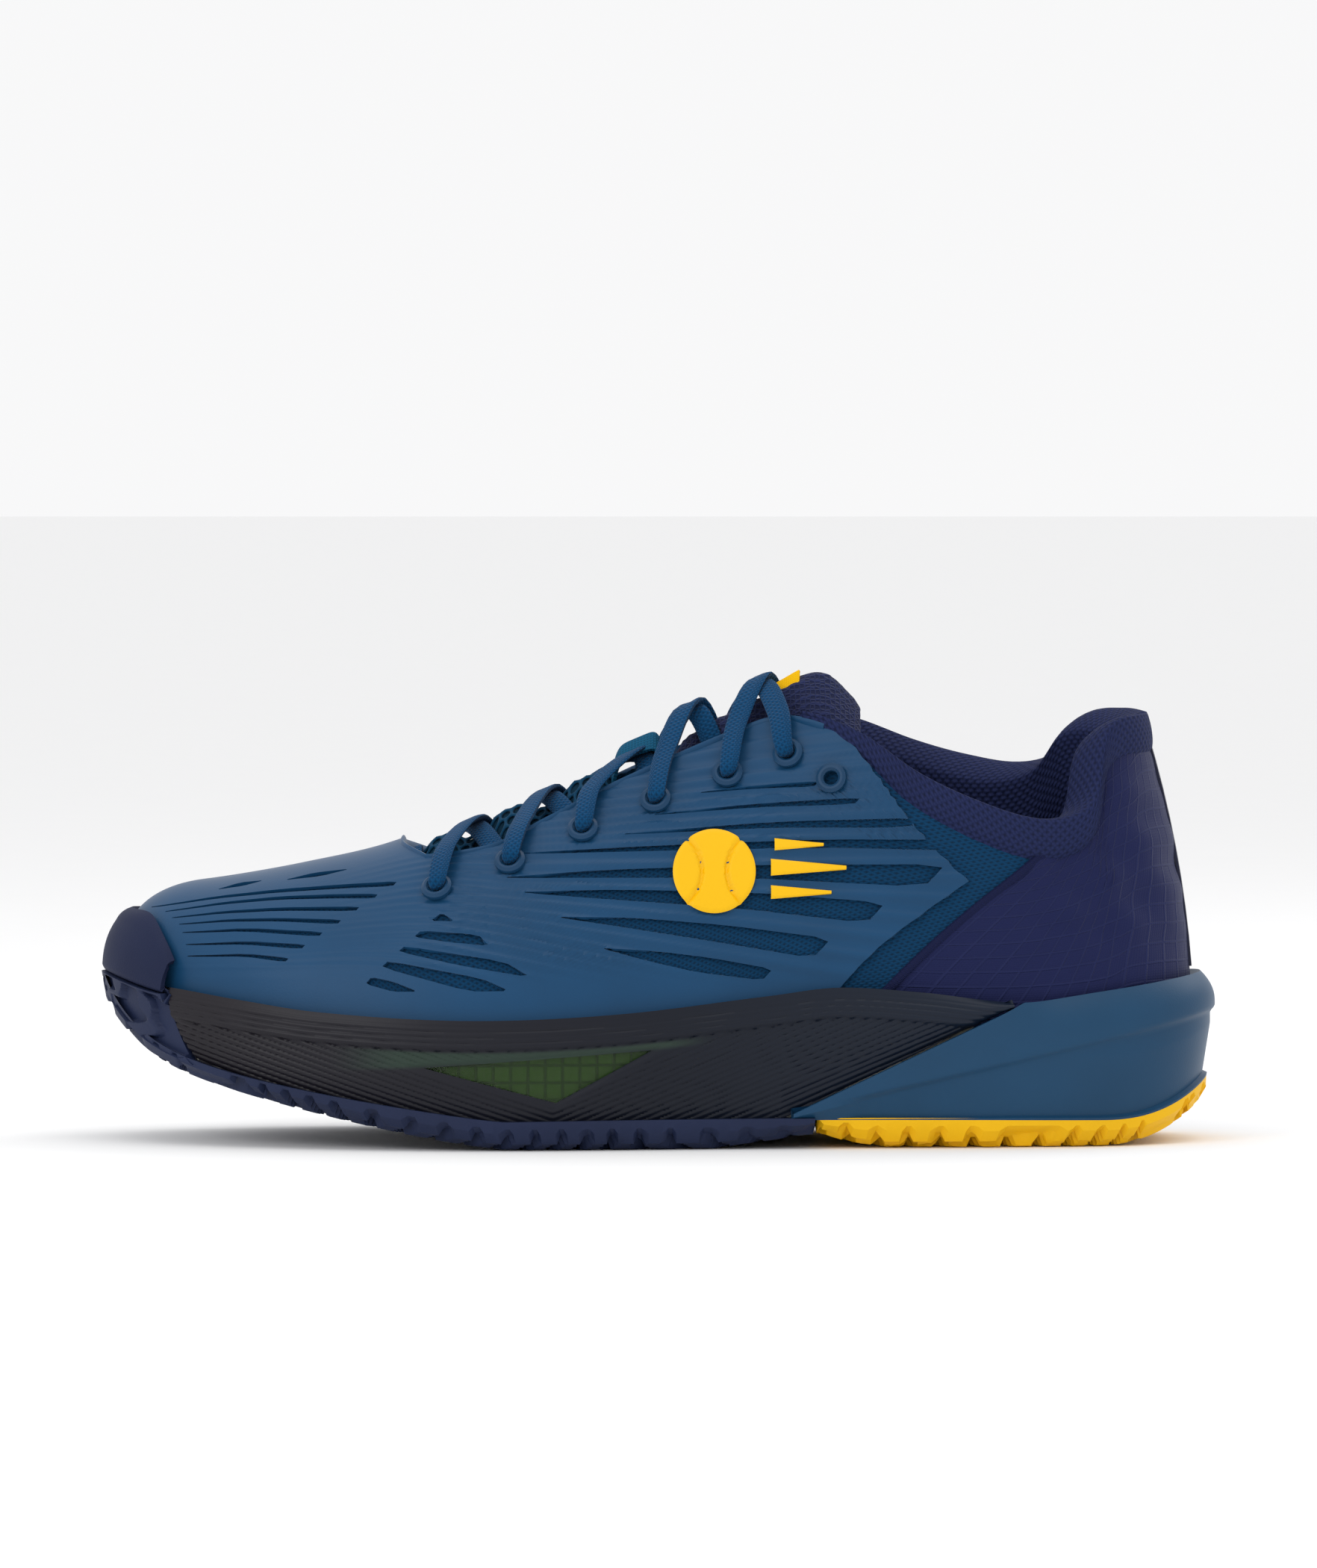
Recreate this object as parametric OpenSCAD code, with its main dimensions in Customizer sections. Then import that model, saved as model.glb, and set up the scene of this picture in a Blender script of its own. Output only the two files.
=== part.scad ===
// Left tennis court shoe: sole unit, laced upper, sockliner and folding tongue.
// Frame: the toe points to -X, the outer (lateral) side faces -Y, +Z is up and the court is z = 0.

/* [Size] */
// Overall length, toe bumper to heel
shoe_length = 300; // [240:1:360]
// Width of the sole at the ball of the foot
ball_width = 112; // [92:1:134]
// Width of the sole at the waist
waist_width = 86; // [72:1:104]
// Width of the sole at the heel
heel_width = 88; // [74:1:106]
// Height of the tongue's top above the court
tongue_height = 128; // [110:1:150]
// Height of the collar at the back of the heel
heel_height = 113; // [98:1:130]
// Lowest height of the collar on the outer side
collar_height = 86; // [78:1:96]

/* [Sole] */
// How far the tip of the toe is lifted off the court
toe_rise = 42; // [36:1:48]
// Thickness of the outsole rubber at its edge
outsole_t = 7.5; // [5:0.1:9]
// Depth of the tread grooves
groove_depth = 2.5; // [1:0.1:3.5]
// Width of a tread groove
groove_w = 2.4; // [1.5:0.1:3.5]
// Distance between tread grooves
groove_pitch = 9; // [7:0.5:14]
// Thickness of the midsole side frames
frame_t = 4.4; // [3:0.1:4.6]
// Height of the footbed under the ball
footbed_z = 17; // [15:0.5:20]
// Extra height of the footbed under the heel
heel_drop = 7; // [4:0.5:10]
// Thickness of the insole board
board_t = 1.5; // [1:0.1:2.5]
// Thickness of the sockliner
sockliner_t = 4; // [3:0.1:6]
// Thickness of the shank plate
shank_t = 1.6; // [1:0.1:3]

/* [Upper] */
// Thickness of the moulded skin
skin_t = 1; // [0.6:0.1:1.2]
// Thickness of the woven textile
textile_t = 1; // [0.6:0.1:1.2]
// Thickness of the stiffeners inside the toe and the heel
stiffener_t = 1.2; // [0.8:0.1:1.6]
// Thickness of the lining
lining_t = 1; // [0.6:0.1:1.5]
// Thickness of the collar foam at its fullest
collar_foam_t = 6; // [3:0.5:8]
// Air between two layers of the upper
layer_gap = 0.3; // [0.2:0.05:0.5]

/* [Lacing] */
// Radius of an eyelet's hole
eyelet_r = 2; // [1.7:0.1:2.4]
// Radius of an eyelet's rim
eyelet_rim_r = 4.1; // [3.6:0.1:4.6]
// Width of the flat lace
lace_w = 6; // [4:0.5:7]
// Thickness of the flat lace
lace_t = 1.4; // [1:0.1:1.8]
// Thickness of the tongue's open mesh
tongue_t = 3; // [2:0.2:4]
// Thickness of the padded tongue top
tongue_pad_t = 8; // [5:0.5:10]

/* [Hidden] */

kx = shoe_length / 300;
half_l = shoe_length / 2;
LATERAL = -1;
MEDIAL = 1;
navy = [0.17, 0.19, 0.33];
ink = [0.11, 0.14, 0.2];
petrol = [0.11, 0.29, 0.42];
teal = [0.05, 0.33, 0.47];
indigo = [0.16, 0.18, 0.35];
yellow = [0.97, 0.78, 0.1];
green = [0.2, 0.42, 0.1];
cream = [0.85, 0.85, 0.8];

// ---- curves -------------------------------------------------------------
function lerp(a, b, t) = a + (b - a) * t;
function clamp(v, lo, hi) = min(max(v, lo), hi);
function flatten(rows) = [for (row = rows) each row];
function span_of(pts, x, i = 0) = i >= len(pts) - 2 || x < pts[i + 1][0] ? i : span_of(pts, x, i + 1);
function slope(pts, i) =
    let (a = pts[max(i - 1, 0)], b = pts[min(i + 1, len(pts) - 1)])
    (b[1] - a[1]) / (b[0] - a[0]);
// A smooth curve through [x, value] points, level beyond both ends.
function curve(pts, x) =
    let (i = span_of(pts, x), a = pts[i], b = pts[i + 1], h = b[0] - a[0], t = clamp((x - a[0]) / h, 0, 1))
    (1 + 2 * t) * (1 - t) ^ 2 * a[1] + t ^ 2 * (3 - 2 * t) * b[1]
    + h * (t * (1 - t) ^ 2 * slope(pts, i) - t ^ 2 * (1 - t) * slope(pts, i + 1));
// The same, for points whose x is stated on a shoe 300 long.
function along(pts, x) = curve(pts, x / kx);

// ---- the sole's plan ----------------------------------------------------
lateral_half = [[-150, 0.45 * ball_width], [-100, 0.483 * ball_width], [-40, 0.505 * ball_width],
    [25, 0.56 * waist_width], [85, 0.51 * heel_width], [150, 0.51 * heel_width]];
medial_half = [[-150, 0.42 * ball_width], [-100, 0.47 * ball_width], [-60, 0.495 * ball_width],
    [-10, 0.47 * waist_width + 0.035 * ball_width], [35, 0.46 * waist_width], [90, 0.49 * heel_width],
    [150, 0.51 * heel_width]];
centre_shift = [[-150, 6], [-110, 3], [-60, 0], [150, 0]];
toe_power = 4;
heel_power = 6;
function end_round(x) = let (s = abs(x) / half_l) sqrt(max(0, 1 - s ^ (x < 0 ? toe_power : heel_power)));
function half_width(x, side) = along(side == LATERAL ? lateral_half : medial_half, x);
function middle(x) = along(centre_shift, x);
// A point of the plan's edge, moved in by inset.
function rim(x, side, inset) =
    [x * (half_l - inset) / half_l, middle(x) + side * (half_width(x, side) - inset) * end_round(x)];
function turn(x) = acos(clamp(-x / half_l, -1, 1));
function at_turn(phi) = -half_l * cos(phi);

// ---- heights along the shoe ---------------------------------------------
flat_front = -40 * kx;
flat_back = 118 * kx;
heel_bevel = 15;
function tread_z(x) =
    let (t = clamp((flat_front - x) / (flat_front + half_l), 0, 1), s = clamp((x - flat_back) / (half_l - flat_back), 0, 1))
    toe_rise * (0.6 * t ^ 1.3 + 0.4 * t ^ 12) + heel_bevel * s ^ 2.2;
function sole_top(x) = tread_z(x) + outsole_t * along([[-150, 0.55], [-110, 0.65], [-50, 1], [118, 1], [150, 0.6]], x);
// The tread's underside, arched at the waist.
function tread_low(x) = tread_z(x) + along([[15, 0], [30, 2], [42, 3.5], [52, 1.2], [60, 0]], x);
// The line where the tread's turned-up toe meets the bumper.
function parting_z(x) = along([[-150, 45.4], [-134, 40.6], [-124, 39.5]], x);
frame_start = [-124 * kx, -132.5 * kx];
function feather_z(x) = along([[-150, 43], [-132, 42], [-112, 39.2], [-90, 36.3], [-50, 34.4], [-10, 36],
    [30, 40.6], [48, 42.7], [70, 41.4], [97, 38.6], [120, 41.2], [150, 45.5]], x);
function footbed(x) = footbed_z + along([[-150, 28], [-140, 18.5], [-130, 13], [-100, 6.5], [-70, 1.5], [-40, 0]], x)
    + heel_drop * along([[-40, 0], [0, 0.15], [50, 0.7], [90, 1], [150, 1.1]], x);
carrier_x = 33 * kx;
carrier_tip_x = 97 * kx;
// The slanting joint between the side frames and the heel carrier.
function carrier_z(x) = lerp(sole_top(carrier_x), feather_z(carrier_tip_x), (x - carrier_x) / (carrier_tip_x - carrier_x));

// ---- the upper's surface ------------------------------------------------
upper_inset = 5;
base_scale = (half_l - upper_inset) / half_l;
toe_fan = 28;
heel_fan = 60;
throat_x = -72 * kx;
rise = tongue_height - 128;
lateral_topline = [[-72, 76], [-45, 80], [-29, 87.5], [-10, 97], [23, 111 + rise * 0.8], [36, 114 + rise],
    [54, 108.5 + rise * 0.5], [70, 98], [88, collar_height + 4], [103, collar_height], [114, collar_height + 1.5],
    [120, collar_height + 7], [124, heel_height - 7], [129, heel_height - 1.5], [138, heel_height], [150, heel_height]];
medial_topline = [[-72, 76], [-45, 80.5], [-29, 88], [-10, 98], [23, 112 + rise * 0.8], [38, 115 + rise],
    [55, 110.5 + rise * 0.5], [70, collar_height + 19], [85, collar_height + 15], [100, collar_height + 13],
    [112, collar_height + 16], [122, heel_height - 1], [136, heel_height + 1], [150, heel_height]];
spine = [[-150, 58], [-140, 65], [-120, 69.5], [-95, 74.5], [-72, 80], [-40, 92.5], [0, 109 + rise * 0.3],
    [40, 132 + rise], [80, 200 + rise], [120, 240 + rise], [150, 250 + rise]];
spine_shift = [[-150, 6], [-110, 3], [-60, -0.5], [0, -3], [50, -2.5], [100, 0], [150, 0]];
side_power = [[-150, 1], [-72, 1.1], [0, 1.25], [60, 1.5], [150, 2]];
top_power = [[-150, 0.55], [-120, 0.65], [-80, 0.85], [-30, 1], [150, 1]];
function topline(x, side) = along(side == LATERAL ? lateral_topline : medial_topline, x * base_scale);
function spine_x(x) =
    let (c = -x / half_l) x * base_scale + (c > 0 ? toe_fan : -heel_fan) * c ^ 4;
function spine_y(x) = along(spine_shift, x);
function spine_z(x) = along(spine, spine_x(x));
function base_z(x) = footbed(x * base_scale);
// A point of the upper: base position x, angle from the base (0) to the spine (90), depth below the surface.
function upper_point(x, side, angle, depth) =
    let (base = rim(x, side, upper_inset + depth), top = [spine_x(x), spine_y(x)], a = cos(angle) ^ along(side_power, x),
        b = sin(angle) ^ along(top_power, x), xy = top + (base - top) * a, z = base_z(x))
    [xy[0], xy[1], z + (spine_z(x) - depth - z) * b];
// The angle at which the upper reaches height z above base position x.
function angle_at(x, z) =
    asin(clamp((z - base_z(x)) / (spine_z(x) - base_z(x)), 0, 1) ^ (1 / along(top_power, x)));
function edge_angle(x, side) = let (u = max(x, throat_x)) angle_at(u, topline(u, side));
// The upper's point and outward normal where its base position is x and its height is z.
function spot(x, z, side, depth) = upper_point(x, side, angle_at(x, z), depth);
function unit(v) = v / norm(v);
function outward(x, z, side) = unit(side * cross(spot(x + 1, z, side, 0) - spot(x - 1, z, side, 0),
    spot(x, z + 1, side, 0) - spot(x, z - 1, side, 0))) * -1;

// ---- one grid for every layer of the upper -------------------------------
// Stations run from the toe (0) over the throat and the slanting seam to the heel; columns from the lateral
// base over the top to the medial base.
toe_cells = 8;
quarter_cells = 10;
heel_cells = 9;
side_cells = 7;
roof_cells = 6;
stations = toe_cells + quarter_cells + heel_cells;
columns = 2 * side_cells + roof_cells;
seam = toe_cells + quarter_cells;
seam_base_x = 48 * kx;
seam_top_x = 117 * kx;
function station_x(i, v, base_x = seam_base_x, top_x = seam_top_x) =
    let (s = lerp(base_x, top_x, v))
    i <= toe_cells ? at_turn(turn(throat_x) * (i / toe_cells) ^ 1.0)
    : i <= seam ? lerp(throat_x, s, (i - toe_cells) / quarter_cells)
    : at_turn(lerp(turn(s), 180, (i - seam) / heel_cells));
// Height share of a column, 0 at the base and 1 at the topline or eyestay edge.
function share(j) = min(1, min(j, columns - j) / side_cells);
function side_of(j) = j <= columns / 2 ? LATERAL : MEDIAL;
function column_angle(x, j) =
    let (edge = edge_angle(x, side_of(j)), k = min(j, columns - j))
    k <= side_cells ? edge * k / side_cells : lerp(edge, 90, (k - side_cells) / (columns / 2 - side_cells));
function layer(depth) = [for (i = [0:stations]) [for (j = [0:columns])
    let (x = station_x(i, share(j))) upper_point(x, side_of(j), column_angle(x, j), depth(i, j))]];
function even(d) = function(i, j) d;
function is_roof(j) = j >= side_cells && j < columns - side_cells;
function is_open(i, j) = i >= toe_cells && is_roof(j);

// A solid between two grids of points, made of the cells that has() keeps. A folded end is closed on itself.
module shell(outer, inner, has, fold_start = false, fold_end = false) {
    n = len(outer) - 1;
    m = len(outer[0]) - 1;
    count = (n + 1) * (m + 1);
    function id(i, j) =
        ((fold_start && i == 0) || (fold_end && i == n)) && 2 * j > m ? i * (m + 1) + m - j : i * (m + 1) + j;
    function kept(i, j) = i >= 0 && j >= 0 && i < n && j < m && has(i, j);
    function quad(a, b, c, d) = [[a, c, b], [a, d, c]];
    faces = [for (i = [0:n - 1]) for (j = [0:m - 1]) if (kept(i, j))
        let (a = id(i, j), b = id(i + 1, j), c = id(i + 1, j + 1), d = id(i, j + 1)) each concat(
            quad(a, b, c, d), quad(count + a, count + d, count + c, count + b),
            kept(i - 1, j) || (fold_start && i == 0) ? [] : quad(a, d, count + d, count + a),
            kept(i + 1, j) || (fold_end && i == n - 1) ? [] : quad(c, b, count + b, count + c),
            kept(i, j - 1) ? [] : quad(b, a, count + a, count + b),
            kept(i, j + 1) ? [] : quad(d, c, count + c, count + d))];
    polyhedron(concat(flatten(outer), flatten(inner)), faces, convexity = 8);
}
function all_cells() = function(i, j) true;
// A layer of the upper between two depths.
module upper_layer(from, to, has) {
    shell(layer(from), layer(to), has, true, true);
}

// ---- plates of the sole --------------------------------------------------
plate_cells = 26;
across_cells = 8;
end_turn = 5;
// A plate from x0 to x1 between two height functions, with its edge moved in at the bottom and at the top.
module plate(x0, x1, low, high, low_inset, high_inset, cells = plate_cells) {
    a = max(turn(x0), end_turn);
    b = min(turn(x1), 180 - end_turn);
    function face(z, inset) = [for (i = [0:cells]) [for (j = [0:across_cells])
        let (x = at_turn(lerp(a, b, i / cells)), l = rim(x, LATERAL, inset), r = rim(x, MEDIAL, inset))
        [l[0], lerp(l[1], r[1], j / across_cells), z(l[0])]]];
    shell(face(high, high_inset), face(low, low_inset), all_cells());
}
// A wall round part of the edge: span(u, v) is its turn at share u of its length and v of its height. The toe's
// tip is turn 0, lateral is positive.
module wall(span, low, high, outside, inside, cells, rows = 4) {
    function side_at(phi) = sin(phi) >= 0 ? LATERAL : MEDIAL;
    function face(inset) = [for (i = [0:cells]) [for (k = [0:rows])
        let (phi = span(i / cells, k / rows), x = at_turn(phi), r = rim(x, side_at(phi), inset(k / rows)))
        [r[0], r[1], lerp(low(r[0]), high(r[0]), k / rows)]]];
    shell(face(outside), face(inside), all_cells());
}

// ---- outsole -------------------------------------------------------------
outsole_split_x = 42 * kx;
joint_gap = 0.2;
module tread_grooves(x0, x1) {
    zig = 3.5;
    steps = 6;
    pitch = ball_width / 2 / steps;
    for (x = [x0:groove_pitch:x1])
        translate([x, 0, -1]) linear_extrude(tread_low(x) + groove_depth + 1)
            polygon([for (k = [-steps:steps]) [k % 2 == 0 ? zig : -zig, k * pitch],
                for (k = [steps:-1:-steps]) [(k % 2 == 0 ? zig : -zig) + groove_w, k * pitch]]);
}
module outsole_forefoot() {
    color(navy) {
        difference() {
            plate(-half_l, outsole_split_x, function(x) tread_low(x), function(x) sole_top(x), 3, 0.6);
            tread_grooves(-126 * kx, outsole_split_x - groove_pitch);
        }
        wall(function(u, v) lerp(-1, 1, u) * (turn(lerp(frame_start[0], frame_start[1], v)) - 0.3),
            function(x) sole_top(x) - 1, function(x) parting_z(x), function(v) 0.6 * (1 - v), function(v) frame_t, 16);
    }
}
module outsole_heel() {
    color(yellow) difference() {
        plate(outsole_split_x + joint_gap + 1.2, half_l, function(x) tread_low(x), function(x) sole_top(x), 4, 2.2, 14);
        tread_grooves(outsole_split_x + groove_pitch, flat_back - groove_pitch);
    }
}
bumper_turn = 27.5;
bumper_top = [[-150, 61.5], [-143, 60], [-136, 53], [-131, 45]];
module toe_bumper() {
    rows = 5;
    cells = 16;
    // Share of the wall's thickness at share v of the bumper's height.
    function thick(v) = 0.96 - 0.5 * v ^ 2;
    function face(outer) = [for (i = [0:cells]) [for (k = [0:rows]) let (phi = lerp(-bumper_turn, bumper_turn, i / cells),
        x = at_turn(phi), side = phi >= 0 ? LATERAL : MEDIAL, z = lerp(parting_z(x) + 0.15, along(bumper_top, x), k / rows),
        in = z > base_z(x) ? spot(x, z, side, -layer_gap) : concat(rim(x, side, upper_inset - layer_gap), z),
        wide = rim(x, side, 0) - rim(x, side, upper_inset - layer_gap), t = outer * thick(k / rows))
        [in[0] + wide[0] * t, in[1] + wide[1] * t, z]]];
    color(navy) shell(face(1), face(0), all_cells());
}

// ---- midsole --------------------------------------------------------------
core_inset = upper_inset + 0.1;
window = [[-62 * kx, 21.9], [-27 * kx, 12.6], [-1.5 * kx, 26.4]];
// The forefoot cushion lies just over the rubber and just inside the frame where the sole is narrowest.
cushion_floor = outsole_t + 4;
cushion_gap = 0.374;
cushion_box = [[-66 * kx, -ball_width / 2, cushion_floor], [2 * kx, -22, 30]];
window_depth = 16;
module window_prism(grow) {
    translate([0, -ball_width / 2 + window_depth, 0]) rotate([90, 0, 0]) linear_extrude(window_depth + 2)
        offset(delta = grow) polygon(window);
}
module midsole_core() {
    color(cream) difference() {
        plate(-half_l, half_l, function(x) sole_top(x) + 0.1, function(x) footbed(x) - 0.1, core_inset, core_inset);
        translate(cushion_box[0]) cube(cushion_box[1] - cushion_box[0]);
        heel_cushion_disc(layer_gap);
        shank_blank(layer_gap, 4);
    }
}
heel_cushion_x = 98 * kx;
heel_cushion_r = 22;
heel_cushion_t = 8;
module heel_cushion_disc(grow) {
    top = footbed(heel_cushion_x) + (grow > 0 ? 4 : -1.2);
    bottom = footbed(heel_cushion_x) - 1.2 - heel_cushion_t - grow;
    translate([heel_cushion_x, 0, bottom]) cylinder(r = heel_cushion_r + grow, h = top - bottom, $fn = 64);
}
module heel_cushion() {
    color(green) heel_cushion_disc(0);
}
cushion_rib = 1.2;
module forefoot_cushion() {
    size = [cushion_box[1][0] - cushion_box[0][0] - 1, 24, 0];
    x0 = cushion_box[0][0] + 0.5;
    y0 = rim(cushion_box[1][0], LATERAL, 0)[1] + frame_t + cushion_gap;
    z0 = cushion_floor + 0.3;
    color(green) difference() {
        translate([x0, y0, z0]) cube([size[0], size[1], footbed_z - 0.4 - z0]);
        for (x = [x0 + 9:9:x0 + size[0] - 3]) translate([x, y0 - 1, z0 - 0.8]) cube([cushion_rib, 2, 20]);
    }
}
shank_x = [-8 * kx, 66 * kx];
shank_half_w = 17;
module shank_blank(grow, over) {
    cells = 8;
    function face(dz) = [for (i = [0:cells]) let (x = lerp(shank_x[0] - grow, shank_x[1] + grow, i / cells))
        [for (s = [-1, 1]) [x, s * (shank_half_w + grow), footbed(x) + dz]]];
    shell(face(over - 0.4), face(-shank_t - 0.4 - grow), all_cells());
}
module shank_plate() {
    color(ink) shank_blank(0, 0);
}
frame_end_x = 95 * kx;
bulge = function(v) 0.3 + 2.2 * (2 * v - 1) ^ 2;
module sidewall(side) {
    low = function(x) x < carrier_x ? sole_top(x) + 0.1 : carrier_z(x) + joint_gap;
    front = function(v) turn(lerp(frame_start[0], frame_start[1], v));
    back = turn(frame_end_x);
    wall(function(u, v) side == LATERAL ? lerp(front(v), back, u) : -lerp(back, front(v), u), low, function(x) feather_z(x), bulge, function(v) frame_t, 26);
}
module sidewall_lateral() {
    color(ink) difference() {
        sidewall(LATERAL);
        window_prism(0);
    }
}
module sidewall_medial() {
    color(ink) sidewall(MEDIAL);
}
module window_lens() {
    color(green) intersection() {
        wall(function(u, v) lerp(turn(-70 * kx), turn(5 * kx), u), function(x) sole_top(x) + 0.1, function(x) feather_z(x),
            function(v) 1.2, function(v) 3.2, 12);
        window_prism(-0.15);
    }
}
module heel_carrier() {
    a = turn(carrier_x + 3 * kx);
    high = function(x) x < carrier_tip_x ? carrier_z(x) : feather_z(x);
    color(petrol) wall(function(u, v) lerp(a, 360 - a, u), function(x) sole_top(x) + 0.1, high,
        function(v) 2.2 * max(0, 1 - 2 * v) + (v > 0.7 ? (frame_t - 0.4) * ((v - 0.7) / 0.3) ^ 2 : 0),
        function(v) frame_t, 34, 5);
}
lining_in = skin_t + textile_t + stiffener_t + lining_t + 3 * layer_gap;
board_inset = upper_inset + lining_in + 0.5;
module insole_board() {
    color(cream) plate(-half_l, half_l, function(x) footbed(x), function(x) footbed(x) + board_t,
        board_inset, board_inset);
}
liner_inset = board_inset + 1.2;
module sockliner() {
    low = function(x) footbed(x) + board_t + layer_gap;
    high = function(x) low(x) + sockliner_t * along([[-150, 0.8], [0, 1], [90, 1.3], [150, 1.4]], x);
    color(indigo) plate(-half_l, half_l, low, high, liner_inset, liner_inset);
}

// ---- upper ----------------------------------------------------------------
textile_out = skin_t + layer_gap;
textile_in = textile_out + textile_t;
stiff_out = textile_in + layer_gap;
stiff_in = stiff_out + stiffener_t;
lining_out = stiff_in + layer_gap;
puff_cells = 3;
counter_row = 5;
foam_row = 3;
counter_start = seam + 1;
module upper_textile() {
    color(teal) difference() {
        upper_layer(even(textile_out), even(textile_in), function(i, j) i < seam && !is_open(i, j));
        eyelet_holes();
    }
}
module heel_quarter() {
    color(indigo) upper_layer(even(textile_out), even(textile_in), function(i, j) i >= seam && !is_roof(j));
}
module toe_puff() {
    color(cream) upper_layer(even(stiff_out), even(stiff_in), function(i, j) i < puff_cells);
}
module heel_counter() {
    color(cream) upper_layer(even(stiff_out), even(stiff_in),
        function(i, j) i >= counter_start && min(j, columns - 1 - j) < counter_row);
}
// The foam swells the collar inwards between the counter and the topline.
function swell(i, j) =
    let (v = share(j)) i < seam ? 0 : collar_foam_t * clamp((i - seam) / 2, 0, 1) * clamp((v - 0.5) * 3, 0, 1);
module upper_lining() {
    color(indigo) difference() {
        upper_layer(function(i, j) lining_out + swell(i, j), function(i, j) lining_out + lining_t + swell(i, j),
            function(i, j) !is_open(i, j));
        eyelet_holes();
    }
}
module collar_foam() {
    color(cream) upper_layer(even(stiff_in), function(i, j) lining_out + swell(i, j),
        function(i, j) i > seam && !is_roof(j) && min(j, columns - 1 - j) >= counter_row);
}
// The skin ends in a point towards the heel.
skin_low_x = 34 * kx;
skin_tip_x = 86 * kx;
skin_top_x = 50 * kx;
skin_tip_v = 0.68;
function skin_end(v) = v < skin_tip_v ? lerp(skin_low_x, skin_tip_x, v / skin_tip_v)
    : lerp(skin_tip_x, skin_top_x, (v - skin_tip_v) / (1 - skin_tip_v));
module upper_skin() {
    cells = toe_cells + quarter_cells;
    function x_at(i, v) = i <= toe_cells ? station_x(i, v) : lerp(throat_x, skin_end(v), (i - toe_cells) / quarter_cells);
    function face(depth) = [for (i = [0:cells]) [for (j = [0:columns])
        let (x = x_at(i, share(j))) upper_point(x, side_of(j), column_angle(x, j), depth)]];
    color(petrol) difference() {
        shell(face(0), face(skin_t), function(i, j) !is_open(i, j), true, false);
        eyelet_holes();
    }
}
strip_half_w = 5;
strip_t = 0.8;
module heel_strip() {
    rows = 8;
    function face(out) = [for (k = [0:rows]) let (z = lerp(feather_z(half_l) + 1, heel_height - 3, k / rows),
        p = spot(half_l, z, LATERAL, textile_out)) [for (s = [1, 0, -1])
        [p[0] + out - (s == 0 ? 0 : 0.3), s * lerp(strip_half_w, strip_half_w * 0.6, k / rows), z]]];
    color(ink) shell(face(strip_t + 0.15), face(0.15), all_cells());
}

// ---- tongue ----------------------------------------------------------------
pad_start_x = 4 * kx;
pad_end_x = 56 * kx;
tongue_start_x = throat_x - 6 * kx;
hinge_gap = 1;
tongue_top = [[-80, 77], [-60, 83], [-40, 91], [0, 108], [8, 111], [30, 121], [44, 127 + rise], [56, 120 + rise]];
tongue_half = [[-80, 16], [-60, 23], [-30, 22], [0, 19.5], [15, 17.5], [30, 16.5], [44, 16.5], [56, 18]];
// How far the tongue's edges hang below its middle.
tongue_drop = [[-80, 12], [-40, 18], [0, 27], [15, 41], [30, 36], [44, 27], [56, 18]];
function tongue_sag(x, y) = along(tongue_drop, x) * (abs(y) / along(tongue_half, x)) ^ 1.2;
function tongue_z(x) = along(tongue_top, x);
module arch_slab(x0, x1, half, thick, dz, cells, ease = 0, swept = 0) {
    strips = 8;
    function face(t) = [for (i = [0:cells]) let (e = lerp(0.3, 1, sin(180 * i / cells) ^ ease))
        [for (k = [0:strips]) let (s = 2 * k / strips - 1, x = lerp(x0 + swept * s ^ 2, x1, i / cells))
            [x, spine_y(x) + s * half(x), tongue_z(x) + dz - tongue_sag(x, s * half(x))
                - t * thick * e - (1 - e) * thick / 2]]];
    shell(face(0), face(1), all_cells());
}
module tongue_mesh() {
    color(teal) arch_slab(tongue_start_x, pad_start_x - hinge_gap, function(x) along(tongue_half, x), tongue_t,
        -lining_in, 12);
}
module tongue_pad() {
    color(indigo) arch_slab(pad_start_x, pad_end_x, function(x) along(tongue_half, x), tongue_pad_t, -1.3, 12, 0.8, 3.5);
}
label_x = [33.5 * kx, 43 * kx];
label_half_w = 9;
module tongue_label() {
    color(yellow) arch_slab(label_x[0], label_x[1], function(x) label_half_w, 0.8, -0.2, 3);
}
keeper_x = [-13 * kx, 2.2 * kx];
keeper_half_w = 4.5;
keeper_h = 7.4;
keeper_t = 1.1;
module lace_keeper() {
    cells = 10;
    function face(t) = [for (i = [0:cells]) let (s = 2 * i / cells - 1,
        x = lerp(keeper_x[0] + t, keeper_x[1] - t, i / cells)) [for (y = [-keeper_half_w, 0, keeper_half_w])
        [x, spine_y(x) + y, tongue_z(x) - lining_in + 0.1 + (keeper_h - t) * (1 - s ^ 6) - tongue_sag(x, y)]]];
    color(petrol) shell(face(0), face(keeper_t), all_cells());
}

// ---- lacing ------------------------------------------------------------------
eyelet_xz = [[-59, 68.5], [-39.3, 75.5], [-19.9, 84], [-0.5, 91.7], [18.7, 98.6], [35, 104], [46.6, 97.6]];
laced = 6;
grommet_wall = 0.8;
rim_t = 1.6;
rim_lift = 0.35;
function eyelet(k, side) = [eyelet_xz[k][0] * kx / base_scale, eyelet_xz[k][1] + (side == MEDIAL ? 0.5 : 0)
    + rise * clamp((k - 3) / 3, 0, 1)];
module place_eyelet(k, side) {
    e = eyelet(k, side);
    at = spot(e[0], e[1], side, 0);
    n = outward(e[0], e[1], side);
    translate(at) rotate([0, acos(n[2]), atan2(n[1], n[0])]) children();
}
module eyelet_holes() {
    for (side = [LATERAL, MEDIAL], k = [0:laced])
        place_eyelet(k, side) translate([0, 0, -lining_in - 4])
            cylinder(r = eyelet_r + grommet_wall + 0.1, h = lining_in + 8, $fn = 32);
}
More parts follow.
